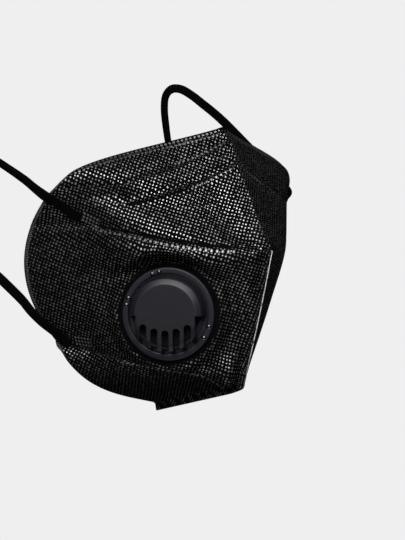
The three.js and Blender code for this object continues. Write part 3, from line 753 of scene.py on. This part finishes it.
def weld_patches(points):
    """Along the nearer strap's weld patch, across it, and whether the point is on it."""
    mirrored = points * np.where(points[..., :1] < 0, (-1, 1, 1), (1, 1, 1))
    result = np.zeros(points.shape)
    for start, way in WELD_PATCHES:
        way = unit(np.array(way))
        level = unit(np.cross(way, np.cross((1.0, -0.5, 0.0), way)))
        sideways = np.cross(way, level)
        offset = mirrored - np.array(start)
        along, aside, away = offset @ way, offset @ sideways, offset @ level
        # Both distances go on past the mark, so they still hold where it fades between two points.
        beside = np.abs(aside) - PATCH_WIDTH / 2
        outside = np.maximum(np.maximum(-along, along - PATCH_LENGTH), beside)
        near = (outside < 7) & (np.abs(away) < 12)
        marked = (outside < 1.5) & (np.abs(away) < 5)
        result[near] = np.stack([along, aside, marked * 1.0], -1)[near]
    return result


def weld_and_shade_lines(down, beyond, shown):
    """Along the nearest line of weld spots or of painted groove shade, how far off it, and how strongly it
    shows.
    """
    offsets, strengths = [], []
    for row, below, first, last, strength in WELD_AND_SHADE_LINES:
        line = np.array([np.interp(row, ROWS, column) for column in down.T])
        offsets.append(down - line - below)
        strengths.append(strength * plateau(beyond, first, last, 1) * shown)
    missing = 1000 * (np.abs(strengths) < 0.05)
    nearest = (np.abs(offsets) + missing).argmin(0)[None]
    off = np.take_along_axis(np.array(offsets), nearest, 0)[0]
    strength = np.take_along_axis(np.array(strengths), nearest, 0)[0]
    return beyond, off, strength


# ---------------------------------------------------------------- ear loops

# x, y, z, width, thickness, turn in degrees; the left loop, from its upper weld to its lower one
LOOP_ROWS = np.array([
    [56.3, 25.9, -39.7, 5.1, 0.6, 0],
    [61.3, 29.45, -35.45, 5.1, 0.8, 0],
    [65.55, 31.9, -32.1, 5.1, 1, 0],
    [68.9, 33.5, -30, 4.9, 1.3, 0],
    [70.6, 38, -27, 4.4, 2, 8],
    [71.7, 44, -23.3, 4.2, 2.6, 22],
    [73.8, 52, -18.8, 4.2, 2.6, 32],
    [76.2, 62, -13.6, 4.2, 2.6, 35],
    [78.8, 74, -7.4, 4.2, 2.6, 35],
    [81.2, 86, -1.1, 4.2, 2.6, 35],
    [83.3, 97, 4.6, 4.2, 2.6, 28],
    [84.7, 107, 9.6, 4.2, 2.6, 18],
    [84.9, 115.5, 14, 4.2, 2.6, 8],
    [84.1, 123.5, 18.6, 4.2, 2.6, 0],
    [82.6, 130, 21.6, 4.2, 2.6, 0],
    [81.3, 135.4, 21.7, 4.2, 2.6, 0],
    [80.6, 139, 18.6, 4.2, 2.6, 0],
    [80.3, 139.8, 12.6, 4.2, 2.6, 0],
    [80.1, 138.2, 3, 4.2, 2.6, 5],
    [79.8, 135, -8, 4.2, 2.6, 15],
    [78.8, 128.5, -20, 4.2, 2.6, 26],
    [77, 119, -31.5, 4.2, 2.6, 33],
    [74.8, 107, -41.5, 4.2, 2.6, 35],
    [72.6, 94.5, -50.2, 4.2, 2.6, 35],
    [70.4, 83, -57.3, 4.2, 2.6, 32],
    [68.2, 72.5, -63.8, 4.2, 2.6, 26],
    [66, 64.5, -69.7, 4.2, 2.6, 18],
    [63.2, 58.5, -75.4, 4.2, 2.6, 10],
    [61.2, 54.2, -80.4, 4.5, 2, 4],
    [57.6, 50.8, -85.2, 4.9, 1.3, 0],
    [54.1, 48.8, -88.3, 5.1, 1.2, 0],
    [51.1, 46.9, -91.1, 5.1, 1.2, 0],
    [48.3, 44.7, -94.2, 5.1, 1.2, 0],
])
LOOP_STEPS = 11
LOOP_SIDES = 32
LOOP_RIBS = 5


def loop_route(steps):
    """The loop's centreline as a centripetal spline through its points, and its sizes."""
    places = LOOP_ROWS[:, :3]
    padded = np.vstack([2 * places[0] - places[1], places, 2 * places[-1] - places[-2]])
    centres, tangents, sizes = [], [], []
    for i in range(len(places) - 1):
        p0, p1, p2, p3 = padded[i:i + 4]
        d0, d1, d2 = (math.sqrt(np.linalg.norm(b - a)) for a, b in ((p0, p1), (p1, p2), (p2, p3)))
        t1 = ((p1 - p0) / d0 - (p2 - p0) / (d0 + d1) + (p2 - p1) / d1) * d1
        t2 = ((p2 - p1) / d1 - (p3 - p1) / (d1 + d2) + (p3 - p2) / d2) * d1
        last = i == len(places) - 2
        for w in np.arange(steps + last) / steps:
            c2 = -3 * p1 + 3 * p2 - 2 * t1 - t2
            c3 = 2 * p1 - 2 * p2 + t1 + t2
            centres.append(p1 + t1 * w + c2 * w * w + c3 * w ** 3)
            tangents.append(t1 + 2 * c2 * w + 3 * c3 * w * w)
            sizes.append(mix(LOOP_ROWS[i, 3:], LOOP_ROWS[i + 1, 3:], w))
    return np.array(centres), unit(np.array(tangents)), np.array(sizes)


def build_loop(name, side):
    centres, tangents, sizes = loop_route(LOOP_STEPS)
    facing = unit(np.array([1.0, 0, 0]) - tangents * tangents[:, :1])
    turn = np.radians(sizes[:, 2])[:, None]
    facing = facing * np.cos(turn) + np.cross(tangents, facing) * np.sin(turn)
    broad = np.cross(facing, tangents)
    angle = (np.arange(LOOP_SIDES) + 0.5) * 2 * math.pi / LOOP_SIDES
    u, v = (np.sign(wave) * np.abs(wave) ** 0.7 for wave in (np.cos(angle), np.sin(angle)))
    rib = 0.06 * (np.cos(u * LOOP_RIBS * math.pi) - 1) * (np.abs(u) < 0.92)
    width, thickness = sizes[:, 0, None], sizes[:, 1, None]
    across = u[None] * width / 2
    through = v[None] * thickness / 2 + np.sign(v)[None] * rib[None]
    points = centres[:, None] + broad[:, None] * across[..., None] + facing[:, None] * through[..., None]
    points[..., 0] *= side
    rings, sides = points.shape[:2]
    along = np.concatenate([[0], np.cumsum(length_of(np.diff(centres, axis=0)))])
    faces = []
    for i in range(rings - 1):
        for k in range(sides):
            a, b = i * sides + k, i * sides + (k + 1) % sides
            quad = (a, b, b + sides, a + sides)
            faces.append(quad if side > 0 else quad[::-1])
    # The welded ends are closed by triangles round a middle point.
    flat = points.reshape(-1, 3)
    ends = np.array([points[0].mean(0), points[-1].mean(0)])
    first, last = len(flat), len(flat) + 1
    for k in range(sides):
        a, b = k, (k + 1) % sides
        start = (first, b, a)
        stop = (last, (rings - 1) * sides + a, (rings - 1) * sides + b)
        faces += [start, stop] if side > 0 else [start[::-1], stop[::-1]]
    weave = np.stack([
        np.concatenate([np.repeat(along, sides), [0, along[-1]]]),
        np.concatenate([np.tile(u, rings), [0, 0]]) * 2.2,
        np.zeros(len(flat) + 2),
    ], 1)
    mesh = make_mesh(name, np.concatenate([flat, ends]), faces, None, {"weave": weave})
    loop = add_object(name, mesh)
    path = centres[::2] * (side, 1, 1) * MM
    if (len(centres) - 1) % 2:
        path = np.vstack([path, centres[-1] * (side, 1, 1) * MM])
    length = float(along[-1] * MM)
    return loop, path, length


# ---------------------------------------------------------------- the exhalation valve

VALVE_SIDES = 120
FLANGE_RADIUS = 20
SLOT_PITCH, SLOT_WIDTH = 4.75, 3.1
SLOT_ENDS = [6.4, 5.6, 3.9, 0.4]
NIB_RADIUS = 18.3  # from the valve's axis
NIB_SEEN_FROM, NIB_REACH = 2.15, 1.15  # a nib's lowest bare height, and just over its radius
NIB_ANGLES = [102, 111.5, 158.5, 168, -16.5, -33]


def turned(name, profile, sides=VALVE_SIDES):
    """A solid turned about +Z from [radius, height] points that run up its outer side."""
    points, rings = [], []
    for r, z in profile:
        if r == 0:
            rings.append([len(points)] * sides)
            points.append((0, 0, z))
            continue
        rings.append(list(range(len(points), len(points) + sides)))
        points += [
            (r * math.cos(2 * math.pi * k / sides), r * math.sin(2 * math.pi * k / sides), z)
            for k in range(sides)
        ]
    faces = []
    pairs = list(zip(rings, rings[1:]))
    if profile[0][0] != 0:
        pairs.append((rings[-1], rings[0]))
    # A level end on the axis is one flat face.
    if profile[0][0] == 0 and profile[0][1] == profile[1][1]:
        faces.append(rings[1][::-1])
        pairs.pop(0)
    if profile[-1][0] == 0 and profile[-1][1] == profile[-2][1]:
        faces.append(rings[-2])
        pairs.pop()
    for low, high in pairs:
        for k in range(sides):
            n = (k + 1) % sides
            corners = []
            for corner in (low[k], low[n], high[n], high[k]):
                if corner not in corners:
                    corners.append(corner)
            faces.append(corners)
    mesh = bpy.data.meshes.new(name)
    mesh.from_pydata(points, [], faces)
    return add_object(name, mesh)


def prism(name, outline, low, high):
    """An upright solid from a counter-clockwise outline."""
    count = len(outline)
    points = [(x, y, low) for x, y in outline] + [(x, y, high) for x, y in outline]
    faces = [tuple(range(count))[::-1], tuple(range(count, 2 * count))]
    faces += [(k, (k + 1) % count, (k + 1) % count + count, k + count) for k in range(count)]
    mesh = bpy.data.meshes.new(name)
    mesh.from_pydata(points, [], faces)
    return add_object(name, mesh)


def settle(obj):
    """Puts the modifiers' result into the mesh."""
    graph = bpy.context.evaluated_depsgraph_get()
    mesh = bpy.data.meshes.new_from_object(obj.evaluated_get(graph))
    obj.modifiers.clear()
    obj.data = mesh


def combine(obj, others, operation):
    for other in others:
        modifier = obj.modifiers.new("combine", "BOOLEAN")
        modifier.operation = operation
        modifier.solver = "EXACT"
        modifier.object = other
        settle(obj)
        bpy.data.objects.remove(other)


def finish_moulding(obj, bevel):
    """Rounds the sharp edges a little, and moves the piece from its own frame into place."""
    if bevel:
        modifier = obj.modifiers.new("bevel", "BEVEL")
        modifier.width = bevel
        modifier.segments = 2
        modifier.limit_method = "ANGLE"
        modifier.angle_limit = math.radians(35)
        modifier.harden_normals = False
        settle(obj)
    place = Matrix.Identity(4)
    for k in range(3):
        place[k][0], place[k][1], place[k][2] = (VALVE_AXES[n][k] * MM for n in range(3))
        place[k][3] = VALVE_CENTRE[k] * MM
    obj.data.transform(place)
    mesh = obj.data
    mesh.polygons.foreach_set("use_smooth", [True] * len(mesh.polygons))
    mesh.set_sharp_from_angle(angle=math.radians(32))
    modifier = obj.modifiers.new("weighted", "WEIGHTED_NORMAL")
    modifier.keep_sharp = True
    settle(obj)
    return obj


def slot_outline(place):
    outermost = abs(place) == len(SLOT_ENDS) - 1
    half = SLOT_WIDTH / 2
    end = -SLOT_ENDS[abs(place)]
    middle = place * SLOT_PITCH
    if outermost:
        inner = middle - math.copysign(half, place)
        outer = math.copysign(FLANGE_RADIUS, place)
        left, right = sorted((inner, outer))
        return [(left, -FLANGE_RADIUS), (right, -FLANGE_RADIUS), (right, end), (left, end)]
    arc = [
        (middle + half * math.cos(math.pi * k / 10), end - half + half * math.sin(math.pi * k / 10))
        for k in range(11)
    ]
    return [(middle - half, -FLANGE_RADIUS), (middle + half, -FLANGE_RADIUS)] + arc


def build_cap():
    cap = turned("valve_cap_shell", [
        (0, 8.8), (12.6, 8.8), (13.3, 8.6), (13.9, 8.0), (14.3, 7.3), (15.35, 1.5), (16.6, 1.5),
        (16.3, 3.6), (15.85, 7.6), (15.8, 8.3), (15.72, 8.75), (15.5, 9.02), (15.2, 9.2), (14.3, 9.57),
        (13.5, 9.87), (13.2, 9.96), (12.9, 10.0), (12.2, 10.0), (0, 10.0),
    ])
    slots = [prism(f"slot{k}", slot_outline(k), -1, 12) for k in range(-3, 4)]
    combine(cap, slots, "DIFFERENCE")
    return finish_moulding(cap, 0.14)


def build_base():
    base = turned("valve_base_moulding", [
        (12.2, -4.2), (13.6, -4.2), (13.6, 0.3), (19.9, 0.3), (20.0, 0.4), (20.0, 1.45), (19.9, 1.75),
        (19.6, 2.0), (19.3, 2.1), (17.6, 2.1), (17.3, 2.0), (17.1, 1.75), (16.9, 1.2), (15.0, 1.2),
        (15.0, 2.6), (12.2, 2.6),
    ])
    spokes = [
        prism("spoke_a", [(-12.6, -0.8), (12.6, -0.8), (12.6, 0.8), (-12.6, 0.8)], 0.6, 2.0),
        prism("spoke_b", [(-0.8, -12.6), (0.8, -12.6), (0.8, 12.6), (-0.8, 12.6)], 0.6, 2.0),
    ]
    pin = turned("pin", [(0, 1), (1.2, 1), (1.2, 3.7), (2.2, 3.7), (2.2, 4.1), (1.2, 4.5), (0, 4.5)], 32)
    combine(base, [*spokes, pin], "UNION")
    # Pairs of small moulded nibs stand on the flange.
    nibs = []
    for angle in NIB_ANGLES:
        at = math.radians(angle)
        x, y = NIB_RADIUS * math.cos(at), NIB_RADIUS * math.sin(at)
        nib = turned("nib", [(0, 1.6), (1.0, 1.6), (1.0, 2.2), (0.86, 2.5), (0.5, 2.7), (0, 2.76)], 24)
        nib.data.transform(Matrix.Translation((x, y, 0)))
        nibs.append(nib)
    combine(base, nibs, "UNION")
    return finish_moulding(base, 0.08)


def on_nib(point):
    """Whether a point of the base, in the part's frame, lies on one of its nibs."""
    offset = np.array(point) / MM - np.array(VALVE_CENTRE)
    x, y, z = (float(offset @ np.array(axis)) for axis in VALVE_AXES)
    angles = np.radians(NIB_ANGLES)
    reach = np.hypot(x - NIB_RADIUS * np.cos(angles), y - NIB_RADIUS * np.sin(angles))
    return z > NIB_SEEN_FROM and bool(reach.min() < NIB_REACH)


def build_diaphragm():
    disc = turned("valve_diaphragm_disc", [
        (1.5, 2.9), (6, 2.92), (12.9, 2.95), (13.6, 2.9), (13.8, 3.0), (13.8, 3.3), (13.6, 3.4),
        (12.9, 3.36), (6, 3.32), (1.5, 3.38),
    ])
    return finish_moulding(disc, 0)


def build_ring():
    ring = turned("valve_ring_moulding", [
        (13.9, -3.2), (14.1, -3.3), (17.6, -3.3), (18.0, -3.0), (18.0, -1.9), (17.9, -1.8), (13.9, -1.8),
    ])
    return finish_moulding(ring, 0.1)


# ---------------------------------------------------------------- materials


class Graph:
    """A small helper that builds a material's nodes."""

    def __init__(self, name):
        self.material = bpy.data.materials.new(name)
        self.material.use_nodes = True
        self.tree = self.material.node_tree
        self.tree.nodes.clear()
        self.shader = self.node("BsdfPrincipled")
        self.put(self.node("OutputMaterial").inputs["Surface"], self.shader.outputs[0])

    def node(self, kind, *values, **settings):
        """A node with these settings, and with these values in its first inputs."""
        node = self.tree.nodes.new("ShaderNode" + kind)
        for name, setting in settings.items():
            setattr(node, name, setting)
        for socket, value in zip(node.inputs, values):
            self.put(socket, value)
        return node

    def put(self, socket, value):
        if isinstance(value, bpy.types.NodeSocket):
            self.tree.links.new(value, socket)
        elif isinstance(value, tuple) and socket.type == "RGBA":
            socket.default_value = (*value, 1)
        else:
            socket.default_value = value

    def math(self, operation, *values):
        return self.node("Math", *values, operation=operation).outputs[0]

    def times(self, first, *others):
        for other in others:
            first = self.math("MULTIPLY", first, other)
        return first

    def without(self, value, taken):
        return self.times(value, self.math("SUBTRACT", 1.0, taken))

    def apart(self, a, b):
        return self.math("ABSOLUTE", self.math("SUBTRACT", a, b))

    def vector(self, operation, *values):
        node = self.node("VectorMath", *values, operation=operation)
        return node.outputs["Value" if operation == "LENGTH" else "Vector"]

    def scaled(self, vector, factor):
        node = self.node("VectorMath", vector, operation="SCALE")
        self.put(node.inputs["Scale"], factor)
        return node.outputs["Vector"]

    def attribute(self, name, output="Vector"):
        return self.node("Attribute", attribute_name=name).outputs[output]

    def split(self, vector):
        return self.node("SeparateXYZ", vector).outputs

    def join(self, x, y):
        return self.node("CombineXYZ", x, y, 0.0).outputs[0]

    def ramp(self, value, low, high, out_low=0.0, out_high=1.0):
        values = (value, low, high, out_low, out_high)
        return self.node("MapRange", *values, interpolation_type="SMOOTHSTEP").outputs[0]

    def fall(self, value, low, high):
        return self.ramp(value, low, high, 1.0, 0.0)

    def window(self, value, rise, fall):
        """1 between two soft steps, each given by where it starts and ends."""
        return self.times(self.ramp(value, *rise), self.fall(value, *fall))

    def mix(self, share, a, b):
        node = self.node("Mix", data_type="RGBA")
        for socket, value in zip((node.inputs["Factor"], node.inputs[6], node.inputs[7]), (share, a, b)):
            self.put(socket, value)
        return node.outputs[2]

    def noise(self, scale, detail=2.0, roughness=0.5):
        """Noise over the object, with its scale for places in metres."""
        node = self.node("TexNoise", self.node("TexCoord").outputs["Object"])
        for name, value in (("Scale", scale), ("Detail", detail), ("Roughness", roughness)):
            self.put(node.inputs[name], value)
        return node.outputs[0]

    def spots(self, along, off, pitch, radius):
        """Round spots along a line, and the clear space around them."""
        step = self.math("SUBTRACT", self.math("FRACT", self.math("DIVIDE", along, pitch)), 0.5)
        reach = self.vector("LENGTH", self.join(self.times(step, pitch), off))
        return self.fall(reach, radius * 0.75, radius * 1.2), self.fall(reach, radius * 1.4, radius * 1.8)

    def bump(self, height, strength, distance):
        node = self.node("Bump", strength, distance)
        self.put(node.inputs["Height"], height)
        return node.outputs[0]

    def finish(self, **sockets):
        for name, value in sockets.items():
            self.put(self.shader.inputs[name.replace("_", " ")], value)
        return self.material


def grey(tone):
    return (tone, tone, tone)


# Millimetres, except where a comment says otherwise.
DOT_PITCH = 1.5
DOT_ANGLE = 35.7  # degrees between their rows and the cut's vertical axis
DOT_SMALLEST, DOT_SPREAD, DOT_JITTER = 0.15, 0.10, 0.22  # shares of their pitch
DASH_PITCH, DASH_SLANT = 1.05, 0.7  # the slant is a slope
DASH_STARTS, DASH_ENDS = (0.3, 0.6), (1.7, 2.1)  # in from the cloth's edge
EDGE_SPOT_ROWS, EDGE_SPOT_PITCH, EDGE_SPOT_RADIUS = (1.2, 3.1), 1.9, 0.52
WELD_SPOT_PITCH, WELD_SPOT_RADIUS = 2.3, 0.5
PAINTED_SHADE_LINE = (0.35, 0.65)  # where the half width of a line of painted groove shade fades out
PATCH_SPOT_PITCH, PATCH_SPOT, PATCH_FADE = 1.55, (0.34, 0.56), 0.3


def bonded_dots(g, flat):
    """The dots where the cloth is bonded, and a chance number for the cell of each."""
    x, y, _ = g.split(flat)
    turn = math.radians(DOT_ANGLE)
    cos, sin = math.cos(turn) / DOT_PITCH, math.sin(turn) / DOT_PITCH
    cells = g.join(
        g.math("ADD", g.times(x, cos), g.times(y, sin)),
        g.math("SUBTRACT", g.times(y, cos), g.times(x, sin)),
    )
    white = g.node("TexWhiteNoise", g.vector("FLOOR", cells), noise_dimensions="2D")
    chance = white.outputs["Value"]
    jitter = g.scaled(g.vector("SUBTRACT", white.outputs["Color"], grey(0.5)), DOT_JITTER)
    offset = g.vector("ADD", g.vector("SUBTRACT", g.vector("FRACTION", cells), (0.5, 0.5, 0)), jitter)
    radius = g.vector("LENGTH", g.vector("MULTIPLY", offset, (1, 1, 0)))
    size = g.math("MULTIPLY_ADD", chance, DOT_SPREAD, DOT_SMALLEST)
    return g.fall(g.math("DIVIDE", radius, size), 0.7, 1.3), chance


def border_dashes(g, along, inward):
    """Slanted dashes pressed into the cloth along its edge."""
    slant = g.math("DIVIDE", g.math("ADD", along, g.times(inward, DASH_SLANT)), DASH_PITCH)
    dash = g.fall(g.apart(g.math("FRACT", slant), 0.5), 0.2, 0.3)
    return g.times(dash, g.window(inward, DASH_STARTS, DASH_ENDS))


def patch_spots(g):
    """The straps' weld patches: spots in a square grid, and where the patches are."""
    lengthwise, sideways, on_patch = g.split(g.attribute("patches"))
    half = PATCH_WIDTH / 2
    ends = g.window(lengthwise, (0.0, PATCH_FADE), (PATCH_LENGTH - PATCH_FADE, PATCH_LENGTH))
    sides = g.fall(g.math("ABSOLUTE", sideways), half, half + PATCH_FADE)
    on_patch = g.times(on_patch, ends, sides)
    place = g.join(lengthwise, g.math("ADD", sideways, PATCH_SPOT_PITCH / 2))
    grid = g.vector("FRACTION", g.scaled(place, 1 / PATCH_SPOT_PITCH))
    offset = g.scaled(g.vector("SUBTRACT", grid, (0.5, 0.5, 0)), PATCH_SPOT_PITCH)
    return g.times(g.fall(g.vector("LENGTH", offset), *PATCH_SPOT), on_patch), on_patch


def cloth_material():
    g = Graph("bonded_cloth")
    fabric = g.attribute("fabric")
    seam = g.split(fabric)[2]
    along, inward, pressed = g.split(g.attribute("border"))
    top = g.attribute("top", "Fac")
    run, aside, shown = g.split(g.attribute("welds_and_shade"))
    dot, chance = bonded_dots(g, fabric)
    dash = g.without(g.times(border_dashes(g, along, inward), pressed), top)
    # Two rows of spots along the top edge, and lines of larger ones along the wire and creases.
    off = g.math("MINIMUM", *(g.apart(inward, row) for row in EDGE_SPOT_ROWS))
    edge_spot, edge_clear = g.spots(along, off, EDGE_SPOT_PITCH, EDGE_SPOT_RADIUS)
    weld_spot, weld_clear = g.spots(run, aside, WELD_SPOT_PITCH, WELD_SPOT_RADIUS)
    strength = g.math("MAXIMUM", shown, 0.0)
    # Where a line's strength is below 0 it is painted shade: a dark line bare of dots, in the grooves beside
    # the wire and in the creases.
    shade_strength = g.math("MAXIMUM", g.times(shown, -1.0), 0.0)
    groove_shade = g.times(g.fall(g.math("ABSOLUTE", aside), *PAINTED_SHADE_LINE), shade_strength)
    patch_spot, on_patch = patch_spots(g)
    for taken in (
        g.attribute("plain", "Fac"), groove_shade, on_patch, g.times(edge_clear, top), g.times(weld_clear, strength),
    ):
        dot = g.without(dot, taken)
    spot = g.math("MAXIMUM", g.times(edge_spot, top), g.times(weld_spot, strength))
    spot = g.math("MAXIMUM", spot, patch_spot)
    bright = g.math("MAXIMUM", g.math("MAXIMUM", dot, g.times(dash, 0.6)), spot)
    # Fused points are a dense film, which mirrors much more than the loose fibres around it.
    fused = g.mix(chance, grey(0.20), grey(0.29))
    fused = g.mix(spot, fused, grey(0.32))
    fused = g.mix(patch_spot, fused, grey(0.4))
    loose_tone = g.mix(seam, (0.0016, 0.0016, 0.0018), (0.0022, 0.0022, 0.0024))
    tone = g.mix(bright, loose_tone, fused)
    rough = g.math("MULTIPLY_ADD", bright, -0.54, 0.90)
    rough = g.math("MULTIPLY_ADD", g.math("SUBTRACT", chance, 0.5), 0.12, rough)
    # The surface: fibres, raised points, and slow unevenness below them.
    fibres = g.noise(2600.0, 3.0, 0.6)
    height = g.times(fibres, g.math("MULTIPLY_ADD", bright, -0.35, 0.5))
    height = g.math("MULTIPLY_ADD", bright, 0.45, height)
    height = g.math("MULTIPLY_ADD", g.noise(90.0), 0.3, height)
    normal = g.bump(height, 0.8, 0.00012)
    return g.finish(Base_Color=tone, Metallic=bright, Roughness=rough, Normal=normal, Specular_IOR_Level=0.03)


def lining_material():
    g = Graph("soft_lining")
    fibres = g.noise(1800.0, 4.0, 0.6)
    clouds = g.noise(140.0)
    tone = g.mix(g.ramp(clouds, 0.3, 0.7), (0.60, 0.60, 0.59), (0.70, 0.70, 0.69))
    normal = g.bump(fibres, 0.5, 0.0001)
    return g.finish(Base_Color=tone, Roughness=0.9, Normal=normal)


DASHES_THIN, CORE_FADES = (60.0, 105.0), (92.0, 125.0)  # millimetres down the front seam


def cut_edge_material():
    g = Graph("cut_layers")
    fibres = g.noise(3000.0, 3.0, 0.7)
    white = g.mix(g.ramp(fibres, 0.35, 0.6), grey(0.55), (1.0, 1.0, 0.99))
    # The front seam's core shows in dashes, which get fewer on the way down.
    seam = g.split(g.attribute("fabric"))[2]
    depth = g.split(g.attribute("border"))[0]
    hidden = g.times(g.ramp(g.noise(520.0), 0.55, 0.6), g.ramp(depth, *DASHES_THIN, 0.4, 1.0))
    hidden = g.math("MAXIMUM", hidden, g.ramp(depth, *CORE_FADES, 0.0, 0.9))
    tone = g.mix(g.times(seam, hidden), white, grey(0.02))
    normal = g.bump(fibres, 0.8, 0.0002)
    return g.finish(Base_Color=tone, Roughness=0.9, Normal=normal)


STITCH_HEIGHT, STITCH_WIDTH = 0.7, 0.88
MOULDING_TONES = ((0.0054, 0.0049, 0.0088), (0.0064, 0.0058, 0.0104))


def elastic_material():
    g = Graph("knitted_elastic")
    along, across, _ = g.split(g.attribute("weave"))
    row = g.math("FRACT", g.math("DIVIDE", along, STITCH_HEIGHT))
    rib = g.math("FRACT", g.math("DIVIDE", across, STITCH_WIDTH))
    stitch = g.math("FRACT", g.math("ADD", row, g.apart(rib, 0.5)))
    stitch = g.fall(g.apart(stitch, 0.5), 0.1, 0.45)
    fuzz = g.noise(5000.0)
    height = g.math("MULTIPLY_ADD", fuzz, 0.3, stitch)
    normal = g.bump(height, 0.7, 0.00015)
    tone = g.mix(stitch, grey(0.0006), (0.0016, 0.0016, 0.0017))
    return g.finish(Base_Color=tone, Roughness=0.95, Normal=normal, Specular_IOR_Level=0.05)


def moulded_material():
    g = Graph("satin_moulding")
    grain = g.noise(5200.0, 3.0, 0.6)
    clouds = g.noise(160.0)
    tone = g.mix(g.ramp(clouds, 0.3, 0.7), *MOULDING_TONES)
    rough = g.math("MULTIPLY_ADD", grain, 0.12, 0.33)
    normal = g.bump(grain, 0.35, 0.00004)
    return g.finish(Base_Color=tone, Roughness=rough, Normal=normal, Specular_IOR_Level=0.3)


def nib_material():
    g = Graph("polished_nib")
    grain = g.noise(3000.0)
    normal = g.bump(grain, 0.15, 0.00003)
    tone = g.mix(grain, *MOULDING_TONES)
    rough = g.math("MULTIPLY_ADD", grain, 0.06, 0.14)
    return g.finish(Base_Color=tone, Roughness=rough, Normal=normal, Specular_IOR_Level=0.9)


def silicone_material():
    g = Graph("soft_silicone")
    clouds = g.noise(300.0)
    tone = g.mix(clouds, (0.0018, 0.0018, 0.0022), (0.0032, 0.003, 0.0038))
    normal = g.bump(clouds, 0.2, 0.0001)
    return g.finish(Base_Color=tone, Roughness=0.5, Normal=normal, Specular_IOR_Level=0.08)


# ---------------------------------------------------------------- assembly

add_camera()
add_lights()
add_stage()
bpy.context.scene.view_settings.view_transform = "Standard"

elastic = elastic_material()
for name, node, side in (
    ("ear_loop_left_elastic", "ear_loop_left", 1),
    ("ear_loop_right_elastic", "ear_loop_right", -1),
):
    loop, path, loop_length = build_loop(name, side)
    loop.data.materials.append(elastic)
    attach(loop, "root")
    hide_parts(node)

body = add_object("mask_cloth", build_body())
for material in (cloth_material(), lining_material(), cut_edge_material()):
    body.data.materials.append(material)
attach(body, "root")
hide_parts("mask_body")

moulded = moulded_material()
for piece, node, slot, material in (
    (build_base(), "valve_base", "valve_plastic", moulded),
    (build_cap(), "valve_cap", "valve_plastic", moulded),
    (build_ring(), "valve_ring", "valve_plastic", moulded),
    (build_diaphragm(), "valve_diaphragm", "silicone", silicone_material()),
):
    piece.data.materials.clear()
    piece.data.materials.append(material)
    if node == "valve_base":
        piece.data.materials.append(nib_material())
        for face in piece.data.polygons:
            face.material_index = int(on_nib(face.center))
    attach(piece, "root")
    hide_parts(node)
